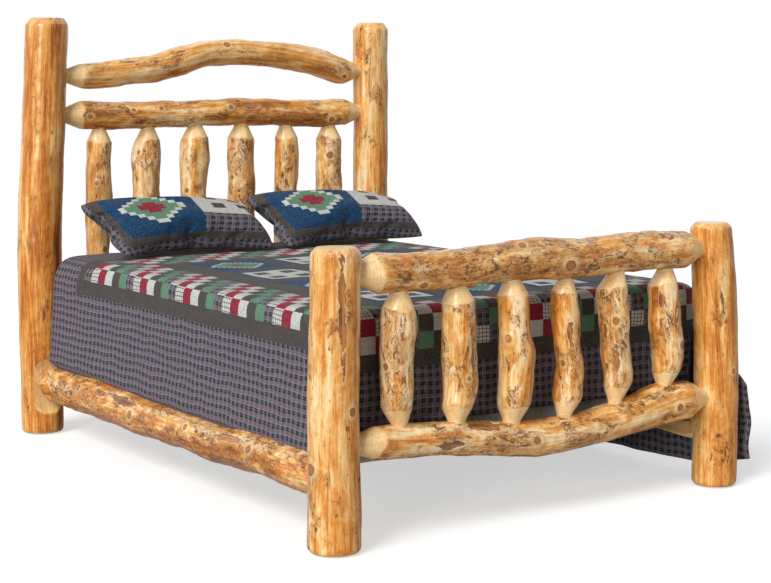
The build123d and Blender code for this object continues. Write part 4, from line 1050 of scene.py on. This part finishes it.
def hanging_ring(form, top, top_flat):
    """The left and foot sides: profiles carried along the top's edge, from the left to the foot one.

    turn is 0 on the left, 1 at the foot and up to 1.5 at the right front corner. The offset goes out
    at that many quarter turns, and the left side is full towards the head.
    """
    edge = np.concatenate([top[:, 0], top[-1, 1:]])
    flat_edge = np.concatenate([top_flat[:, 0], top_flat[-1, 1:]])
    spots, corner = len(edge), form.CORNER_CELLS
    left_end = len(top) - 1 - corner
    foot_start = left_end + 2 * corner
    turn = np.zeros(spots)
    turn[left_end:foot_start + 1] = np.linspace(0, 1, 2 * corner + 1)
    turn[foot_start:] = 1
    turn[spots - 1 - corner:] = 1 + np.linspace(0, 0.5, corner + 1)
    normal = np.stack([-np.cos(turn * np.pi / 2), -np.sin(turn * np.pi / 2)], -1)

    depth = form.cell * np.arange(LEFT_DROP + 1)[:, None]
    left_offset, left_z = form.along_profile(form.LEFT, depth)
    foot_offset, foot_z = form.along_profile(form.FOOT, depth)
    share = smooth_step(0, 1, turn)[None, :]
    offset = left_offset * (1 - share) + foot_offset * share
    z = left_z * (1 - share) + foot_z * share
    x = edge[:, 0] + offset * normal[:, 0]
    y = edge[:, 1] + offset * normal[:, 1]
    x = x + offset * 1.9 * np.clip(turn - 1, 0, 1)[None, :]
    sway = form.wrinkle(edge[:, 1][None, :] + edge[:, 0][None, :], z * 1.3)
    sway = sway * smooth_step(0.1, 0.2, depth) * (1 - smooth_step(0.38, 0.45, depth))
    full = smooth_step(0.3, 1.0, edge[:, 1]) * smooth_step(0, 0.12, depth)
    sway = 1.5 * sway + HEAD_FULLNESS * (full * (1 - smooth_step(0.45, 0.48, depth)))
    ring = np.stack([x + sway * normal[:, 0], y + sway * normal[:, 1], z], -1)

    spot = np.arange(spots - 1)
    keep = np.arange(LEFT_DROP)[:, None] < np.where(spot <= foot_start, LEFT_DROP, FOOT_DROP)
    quads = grid_faces(LEFT_DROP + 1, spots, keep)
    left_flat = np.stack(np.broadcast_arrays(-form.flat_half - depth, flat_edge[:, 1]), -1)
    foot_flat = np.stack(np.broadcast_arrays(flat_edge[:, 0], form.foot_flat - depth), -1)
    on_left = np.broadcast_to(spot < left_end + corner, keep.shape)[keep]
    flats = np.where(on_left[:, None, None], left_flat.reshape(-1, 2)[quads], foot_flat.reshape(-1, 2)[quads])
    return ring.reshape(-1, 3), quads, flats


def right_panels(form):
    """The right side, and the ear of it that goes on past the top's corner, sheared as it falls."""
    lines, places = form.lines[::-1][form.CORNER_CELLS:], form.places[::-1][form.CORNER_CELLS:]
    depth = form.cell * np.arange(RIGHT_DROP + 1)[:, None]
    side = right_drop(form, places[None, :], depth)
    side_flat = np.stack(np.broadcast_arrays(form.flat_half + depth, lines), -1)

    reach = np.arange(EAR_REACH, -1, -1)[None, :]
    rows = RIGHT_DROP - EAR_TOP
    first, last = EAR_TOP + 1.45 * reach, RIGHT_DROP - 0.25 * reach
    depth = form.cell * (first + (last - first) * np.arange(rows + 1)[:, None] / rows)
    ear = right_drop(form, places[0] - form.cell * reach, depth)
    ear_flat = np.stack(np.broadcast_arrays(form.flat_half + depth, lines[0] - form.cell * reach), -1)
    return [whole_panel(side, side_flat), whole_panel(ear, ear_flat)]


def quilt_piece(quilt, material):
    """One quilt: its panels welded into a sheet, coloured patch by patch and given its thickness."""
    work = Patchwork(quilt)
    form = QuiltForm(work)
    top, top_flat = form.top()
    panels = [whole_panel(top, top_flat), hanging_ring(form, top, top_flat), *right_panels(form)]
    starts = np.cumsum([0] + [len(points) for points, _, _ in panels])
    points = np.concatenate([points for points, _, _ in panels])
    quads = np.concatenate([quads + start for (_, quads, _), start in zip(panels, starts)])
    flats = np.concatenate([flats for _, _, flats in panels])

    shoulder = smooth_step(0.55, 1.0, points[:, 1]) * smooth_step(0.60, 0.70, points[:, 2])
    points[:, 2] -= SHOULDER_DROP * shoulder * smooth_step(0.68, 0.76, np.abs(points[:, 0]))
    points[:, 0] *= 1 - 0.010 * shoulder
    piece = cloth_piece("patchwork_quilt", points, quads, flats, material, work)
    weld(piece, 0.3 * MM)
    solid = piece.modifiers.new("thickness", "SOLIDIFY")
    solid.thickness = quilt.thickness
    solid.offset = -1
    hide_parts("quilt")
    return piece, form, flats


def cloth_piece(name, points, quads, flats, material, work):
    """A cloth mesh with its flat map in metres on each face corner, and each face's dye and plaid."""
    used, index = np.unique(quads, return_inverse=True)
    piece = new_piece(name, points[used], [index.reshape(-1, 4)], material)
    layer = piece.data.uv_layers.new(name="flat")
    layer.data.foreach_set("uv", flats.reshape(-1, 2).astype(np.float32).ravel())
    middle = flats.mean(1)
    dye, plaid = work.colour(work.prints(middle[:, 0], middle[:, 1]))
    put_attribute(piece.data, "dye", dye, "FACE")
    put_attribute(piece.data, "plaid", plaid, "FACE")
    return piece


def weld(piece, distance):
    """Joins the vertices that panels share and turns all faces the same way."""
    mesh = bmesh.new()
    mesh.from_mesh(piece.data)
    bmesh.ops.remove_doubles(mesh, verts=mesh.verts, dist=distance)
    bmesh.ops.recalc_face_normals(mesh, faces=mesh.faces)
    mesh.faces.ensure_lookup_table()
    highest = max(mesh.faces, key=lambda face: face.calc_center_median().z)
    if highest.normal.z < 0:
        bmesh.ops.reverse_faces(mesh, faces=mesh.faces)
    mesh.to_mesh(piece.data)
    mesh.free()


# ---------------------------------------------------------------- pillows and bedding


class Sham(Patchwork):
    """A sham's cut: a plaid edge, a charcoal band and a middle of plain geometric patches."""

    WIDTH = 660 * MM
    HEIGHT = 480 * MM
    STEP = 20 * MM            # size of the steps that the motif is cut in

    def prints(self, u, v):
        """The name of the print at each flat place, by its distance from the sham's edge."""
        edge = np.minimum(self.WIDTH / 2 - np.abs(u), self.HEIGHT / 2 - np.abs(v))
        name = np.full(u.shape, "plaid", object)
        name[edge > 40 * MM] = "charcoal"
        middle = edge > 80 * MM
        left, right = middle & (u < 30 * MM), middle & (u >= 30 * MM)
        name[left] = stepped_diamond(u + 110 * MM, v, self.STEP, 4)[left]
        name[right] = window_block(u - 140 * MM, v - 40 * MM, 40 * MM)[right]
        name[right & (v < -60 * MM)] = "plaid"
        return name


# Corners of each pillow on the bed, in millimetres: bottom left, bottom right, top left, top right.
PILLOW_CORNERS = {
    "pillow_left": ((-616, 698, 740), (34, 684, 740), (-678, 1008, 926), (44, 1006, 884)),
    "pillow_right": ((108, 668, 738), (790, 690, 744), (88, 1006, 926), (800, 1012, 872)),
}
PILLOW_FRONT, PILLOW_BACK = 124 * MM, 50 * MM    # how far a pillow stands out from its seam, each way
EASE_X, EASE_Y = 0.27, 0.18   # share by which the drawn-in middles of its sides are let out again
PILLOW_CREASE = 2.5 * MM
STUFFING_FRAMES = 20
QUICK_DOME, FLAT_DOME = 40 * MM, 4 * MM


def blown_up(piece):
    """The piece's vertices after an even pressure has filled it as cloth for some frames, weightless."""
    cloth = piece.modifiers.new("stuffing", "CLOTH")
    settings = cloth.settings
    settings.quality, settings.mass = 6, 0.25
    settings.tension_stiffness = settings.compression_stiffness = 18
    settings.shear_stiffness, settings.bending_stiffness = 8, 0.35
    settings.use_pressure, settings.uniform_pressure_force = True, 4.0
    settings.effector_weights.gravity = 0
    cloth.point_cache.frame_end = STUFFING_FRAMES
    for moment in range(1, STUFFING_FRAMES + 1):
        bpy.context.scene.frame_set(moment)
    shaped = piece.evaluated_get(bpy.context.evaluated_depsgraph_get())
    places = np.empty(len(piece.data.vertices) * 3, np.float32)
    shaped.to_mesh().vertices.foreach_get("co", places)
    shaped.to_mesh_clear()
    piece.modifiers.remove(cloth)
    bpy.context.scene.frame_set(1)
    return places.reshape(-1, 3).astype(float)


def pillow_piece(quilt, material, node, number):
    """A stuffed sham: a flat bag blown up as cloth, then laid between its four corners on the bed.

    The bag's own width and height, from -1 to 1, go to a place between the corners, and its
    thickness to a distance square to them.
    """
    work = Sham(quilt)
    columns, rows = 66, 48
    a, b = np.meshgrid(np.linspace(-1, 1, columns + 1), np.linspace(-1, 1, rows + 1))
    flat = np.stack([a * work.WIDTH / 2, b * work.HEIGHT / 2], -1)
    dome = ((1 - a ** 4) * (1 - b ** 4)) ** 0.55
    start = FLAT_DOME
    panels = [np.dstack([flat, way * start * dome]).reshape(-1, 3) for way in (1, -1)]
    quads = grid_faces(rows + 1, columns + 1)
    points = np.concatenate(panels)
    faces = np.concatenate([quads[:, ::-1], quads + len(panels[0])])
    flats = np.concatenate([flat.reshape(-1, 2)[quads[:, ::-1]], flat.reshape(-1, 2)[quads]])
    piece = cloth_piece(node + "_sham", points, faces, flats, material, work)
    weld(piece, 0.05 * MM)
    places = blown_up(piece)
    thick = np.abs(places[:, 2]).max()
    if not np.isfinite(places).all() or not 15 * MM < thick < 300 * MM:
        raise RuntimeError(f"{node}: the stuffing went wrong")

    a = places[:, 0] / np.abs(places[:, 0]).max()
    b = places[:, 1] / np.abs(places[:, 1]).max()
    a, b = a * (1 + EASE_X * (1 - b ** 2)), b * (1 + EASE_Y * (1 - a ** 2))
    low_left, low_right, high_left, high_right = np.array(PILLOW_CORNERS[node]) * MM
    right, up = ((a + 1) / 2)[:, None], ((b + 1) / 2)[:, None]
    bottom, top = low_left * (1 - right) + low_right * right, high_left * (1 - right) + high_right * right
    seam = bottom * (1 - up) + top * up
    square = np.cross(low_right - low_left, high_left - low_left)
    square /= np.linalg.norm(square)
    height = places[:, 2] / thick * np.where(places[:, 2] > 0, PILLOW_FRONT, PILLOW_BACK)
    crease = np.sin(7 * a + 5 * b + number) * np.sin(4 * b - 3 * a)
    height = height + PILLOW_CREASE * crease * (1 - a ** 2) * (1 - b ** 2)
    points = seam + height[:, None] * square
    piece.data.vertices.foreach_set("co", points.astype(np.float32).ravel())
    piece.data.update()
    smooth = piece.modifiers.new("smooth", "SUBSURF")
    smooth.levels = smooth.render_levels = 1
    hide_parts(node)
    return piece


BLOCK_CORNER = 70 * MM       # radius of the mattress's and the box spring's corners, seen from above
LOOP_GAP = 40 * MM           # about the distance between the points along their sides
SIDE_DIP = 5 * MM            # how far their sides dip, three times from top to bottom
PIPING_RADIUS, PIPING_SINK = 4 * MM, 4.2 * MM     # of the cord, and how far in its middle lies


def rounded_loop(width, length, corner, count):
    """Points and outward normals of a rounded rectangle, evenly spread by angle in its corners."""
    turn = np.linspace(0, TAU, 4 * count, endpoint=False) + TAU / (8 * count)
    quarter = np.floor(turn / (TAU / 4)).astype(int)
    sign_x = np.array([1, -1, -1, 1])[quarter]
    sign_y = np.array([1, 1, -1, -1])[quarter]
    normal = np.stack([np.cos(turn), np.sin(turn)], -1)
    middle = np.stack([sign_x * (width / 2 - corner), sign_y * (length / 2 - corner)], -1)
    return middle + corner * normal, normal


def dense_loop(width, length, corner):
    """A rounded rectangle with arcs at its corners and points every few centimetres on its sides."""
    loop, normal = rounded_loop(width, length, corner, 10)
    after, normal_after = np.roll(loop, -1, 0), np.roll(normal, -1, 0)
    steps = np.maximum(1, (np.linalg.norm(after - loop, axis=1) / LOOP_GAP).astype(int))
    k = np.repeat(np.arange(len(loop)), steps)
    share = ((np.arange(len(k)) - np.repeat(np.cumsum(steps) - steps, steps)) / steps[k])[:, None]
    normals = normal[k] * (1 - share) + normal_after[k] * share
    points = loop[k] * (1 - share) + after[k] * share
    return points, normals / np.linalg.norm(normals, axis=1)[:, None]


def block_piece(name, node, material, bulge, edge):
    """A mattress or box spring: a rounded loop carried down a profile of rounded edges and full sides."""
    low, high = (np.array(corner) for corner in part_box(node))
    width, length = (high - low)[:2]
    middle = (low + high) / 2
    loop, normal = dense_loop(width - 2 * bulge, length - 2 * bulge, BLOCK_CORNER)
    turn = np.radians(np.linspace(0, 90, 7))
    top = [(bulge - edge * (1 - np.sin(t)), high[2] - edge * (1 - np.cos(t))) for t in turn]
    share = np.arange(1, 12) / 12
    fullness = bulge - SIDE_DIP * np.abs(np.sin(3 * np.pi * share))
    side = list(zip(fullness, high[2] - edge - (high[2] - low[2] - 2 * edge) * share))
    base = [(out, low[2] + high[2] - z) for out, z in top[::-1]]
    profile = [(0.0, high[2], share) for share in (0.15, 0.4, 0.65, 0.85)]
    profile += [(out, z, 1.0) for out, z in top + side + base]
    profile += [(0.0, low[2], share) for share in (0.85, 0.65, 0.4, 0.15)]
    rings = []
    for out, z, share in profile:
        flat = loop + out * normal if share == 1.0 else (loop - (edge - bulge) * normal) * share
        rings.append(np.c_[flat + middle[:2], np.full(len(loop), z)])
    points = np.concatenate([[(*middle[:2], high[2])], *rings, [(*middle[:2], low[2])]])
    piece = new_piece(
        name, points, outward(points, tube_faces(len(rings), len(loop))), material)
    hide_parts(node)
    for place, height in (("top", high[2] - edge * 0.8), ("bottom", low[2] + edge * 0.8)):
        piping(f"{name}_{place}_piping", loop + middle[:2], normal, height, bulge, material)
    return piece


def piping(name, loop, normal, height, out, material):
    """A round cord along the loop: a circle of its radius, standing square to the loop."""
    turn = np.arange(8) * TAU / 8
    centre = loop + (out - PIPING_SINK) * normal
    points = np.stack([
        centre[:, None, 0] + PIPING_RADIUS * np.cos(turn) * normal[:, None, 0],
        centre[:, None, 1] + PIPING_RADIUS * np.cos(turn) * normal[:, None, 1],
        height + PIPING_RADIUS * np.sin(turn) + 0 * centre[:, None, 0]], -1)
    rows, columns = points.shape[:2]
    index = np.arange(rows * columns).reshape(rows, columns)
    after = np.roll(index, -1, 0)
    quads = np.stack([index, after, np.roll(after, -1, 1), np.roll(index, -1, 1)], -1).reshape(-1, 4)
    points = points.reshape(-1, 3)
    return new_piece(name, points, outward(points, [quads]), material)


# ---------------------------------------------------------------- operators


class LOGBED_OT_logs(bpy.types.Operator):
    """Grow the posts, rails, spindles and side rails"""
    bl_idname = "logbed.logs"
    bl_label = "Logs"

    def execute(self, context):
        logs = context.scene.log_bed_logs
        material = log_material(logs)
        boards = ("headboard", "footboard", "side_rail")
        for seed, name in enumerate(sorted(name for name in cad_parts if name.startswith(boards))):
            if "side_rail" in name:
                kind, columns = ("left side" if name.endswith("left") else "right side"), 72
            elif "rail" in name:
                kind, columns = "rail", 80
            else:
                kind, columns = "upright", 96 if "post" in name else 72
            log_piece(logs, material, name, kind, seed, columns)
        return {"FINISHED"}


class LOGBED_OT_carpentry(bpy.types.Operator):
    """Finish the slats, cleats, plates, screws and glides that keep the frame's own shape"""
    bl_idname = "logbed.carpentry"
    bl_label = "Slats and hardware"

    def execute(self, context):
        steel = steel_material()
        slat = sawn_material("sawn_pine", 0, 0.62, (0.70, 0.46, 0.24), (0.80, 0.59, 0.36), (0.50, 0.28, 0.12))
        cleat = sawn_material(
            "sawn_pine_cleat", 1, 0.6, (0.64, 0.36, 0.14), (0.76, 0.48, 0.22), (0.42, 0.20, 0.07))
        finishes = {"screws": steel, "plate": steel, "slat": slat, "cleat": cleat, "glides": glide_material()}
        for name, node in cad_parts.items():
            finish = next((finish for part, finish in finishes.items() if part in name), None)
            if finish:
                for slot in node.material_slots:
                    slot.material = finish
        return {"FINISHED"}


class LOGBED_OT_bedding(bpy.types.Operator):
    """Make the mattress and the box spring"""
    bl_idname = "logbed.bedding"
    bl_label = "Mattress and box spring"

    def execute(self, context):
        ticking = ticking_material("mattress_ticking", (0.78, 0.77, 0.74), (0.20, 0.27, 0.38))
        cover = ticking_material("box_spring_cover", (0.30, 0.33, 0.32), (0.20, 0.22, 0.23))
        block_piece("quilted_mattress", "mattress", ticking, 8 * MM, 38 * MM)
        block_piece("covered_box_spring", "box_spring", cover, 3 * MM, 14 * MM)
        return {"FINISHED"}


class LOGBED_OT_quilt(bpy.types.Operator):
    """Lay the quilt over the mattress"""
    bl_idname = "logbed.quilt"
    bl_label = "Quilt"

    def execute(self, context):
        quilt = context.scene.log_bed_quilt
        piece, form, flats = quilt_piece(quilt, quilt_material())
        return {"FINISHED"}


class LOGBED_OT_pillows(bpy.types.Operator):
    """Stuff the two shams"""
    bl_idname = "logbed.pillows"
    bl_label = "Pillows"

    def execute(self, context):
        material = bpy.data.materials["quilted_cotton"]
        for number, node in enumerate(("pillow_left", "pillow_right")):
            pillow_piece(context.scene.log_bed_quilt, material, node, number)
        return {"FINISHED"}


class LOGBED_OT_stage(bpy.types.Operator):
    """Set the floor, the lights and the camera"""
    bl_idname = "logbed.stage"
    bl_label = "Stage"

    def execute(self, context):
        stage = context.scene.log_bed_stage
        floor_piece()
        world_light(stage.daylight)
        sun("window", stage.window, (48, 0, -66), 26)
        sun("softbox", stage.softbox, (78, 0, -57), 16)
        camera()
        context.scene.view_settings.view_transform = "Standard"
        return {"FINISHED"}


FLOOR_HALF = 40.0            # half the side of the floor
FLOOR_GREY = (0.62, 0.62, 0.62)
FLOOR_GLOW = 0.565           # lifts the floor to white where the camera sees it, and lights nothing


def floor_piece():
    """A white floor far larger than the bed, with faint cloudy dust."""
    corners = [(x * FLOOR_HALF, y * FLOOR_HALF, 0.0) for x, y in ((-1, -1), (1, -1), (1, 1), (-1, 1))]
    finish = Finish("pale_floor", roughness=1.0, specular_ior_level=0.0)
    cloud = finish.noise(finish.object_place(), 3, 3)
    colour = finish.mix(finish.fade(cloud, 0.3, 0.7), (0.58, 0.58, 0.58), FLOOR_GREY)
    seen = finish.node("ShaderNodeLightPath").outputs["Is Camera Ray"]
    colour = finish.mix(seen, colour, FLOOR_GREY)
    finish.surface.inputs["Emission Color"].default_value = (1, 1, 1, 1)
    material = finish.finish(
        base_color=colour, emission_strength=finish.math("MULTIPLY", seen, FLOOR_GLOW))
    mesh = bpy.data.meshes.new("floor")
    mesh.from_pydata(corners, [], [(0, 1, 2, 3)])
    mesh.materials.append(material)
    floor = bpy.data.objects.new("floor", mesh)
    bpy.context.scene.collection.objects.link(floor)


def world_light(strength):
    """An even pale surround, which is white where it is seen straight, mirrored or refracted."""
    world = bpy.data.worlds.new("surround")
    bpy.context.scene.world = world
    world.use_nodes = True
    tree = world.node_tree
    path = tree.nodes.new("ShaderNodeLightPath")
    seen = path.outputs["Is Camera Ray"]
    for ray in ("Is Glossy Ray", "Is Transmission Ray"):
        either = tree.nodes.new("ShaderNodeMath")
        either.operation = "MAXIMUM"
        tree.links.new(seen, either.inputs[0])
        tree.links.new(path.outputs[ray], either.inputs[1])
        seen = either.outputs[0]
    level = tree.nodes.new("ShaderNodeMapRange")
    level.inputs["To Min"].default_value = strength
    level.inputs["To Max"].default_value = 1.0
    tree.links.new(seen, level.inputs["Value"])
    back = tree.nodes["Background"]
    back.inputs["Color"].default_value = (1, 1, 1, 1)
    tree.links.new(level.outputs[0], back.inputs["Strength"])


def sun(name, strength, turn, spread):
    """A broad sun: turn gives its Euler angles and spread its width, in degrees."""
    light = bpy.data.lights.new(name, "SUN")
    light.energy = strength
    light.angle = np.radians(spread)
    lamp = bpy.data.objects.new(name, light)
    lamp.rotation_euler = [np.radians(angle) for angle in turn]
    bpy.context.scene.collection.objects.link(lamp)


CAMERA_PLACE = (-3.653, -5.6508, 1.4897)
CAMERA_YAW = -33.836         # degrees from +Y; a negative turn is clockwise, seen from above
CAMERA_PITCH = -4.366        # degrees; negative looks down
CAMERA_LENS, CAMERA_SENSOR = 83.23, 36.0          # millimetres
CAMERA_SHIFT = -0.1167       # of the picture, as a share of its width


def camera():
    """The view from the left foot corner."""
    data = bpy.data.cameras.new("view")
    data.lens = CAMERA_LENS
    data.sensor_width = CAMERA_SENSOR
    data.shift_y = CAMERA_SHIFT
    eye = bpy.data.objects.new("view", data)
    eye.location = CAMERA_PLACE
    eye.rotation_euler = (np.radians(90 + CAMERA_PITCH), 0, np.radians(CAMERA_YAW))
    bpy.context.scene.collection.objects.link(eye)
    bpy.context.scene.camera = eye


class LOGBED_PT_panel(bpy.types.Panel):
    """Sizes, colours and steps of the log bed"""
    bl_idname = "LOGBED_PT_panel"
    bl_label = "Log Bed"
    bl_space_type = "VIEW_3D"
    bl_region_type = "UI"
    bl_category = "Log Bed"

    def draw(self, context):
        for group in (context.scene.log_bed_logs, context.scene.log_bed_quilt, context.scene.log_bed_stage):
            for key in group.__annotations__:
                self.layout.prop(group, key)
        for step in STEPS:
            self.layout.operator(step.bl_idname)


GROUPS = {"log_bed_logs": LogBedLogs, "log_bed_quilt": LogBedQuilt, "log_bed_stage": LogBedStage}
STEPS = (LOGBED_OT_stage, LOGBED_OT_logs, LOGBED_OT_carpentry, LOGBED_OT_bedding, LOGBED_OT_quilt,
         LOGBED_OT_pillows)


def register():
    """Adds the sizes and colours to the scene, then the steps and their panel."""
    for key, group in GROUPS.items():
        bpy.utils.register_class(group)
        setattr(bpy.types.Scene, key, PointerProperty(type=group))
    for step in (*STEPS, LOGBED_PT_panel):
        bpy.utils.register_class(step)


def unregister():
    """Takes the same away again."""
    for step in (LOGBED_PT_panel, *reversed(STEPS)):
        bpy.utils.unregister_class(step)
    for key, group in GROUPS.items():
        delattr(bpy.types.Scene, key)
        bpy.utils.unregister_class(group)


def main():
    """Builds the whole bed step by step."""
    register()
    for step in STEPS:
        group, name = step.bl_idname.split(".")
        getattr(getattr(bpy.ops, group), name)()


if __name__ == "__main__":
    main()
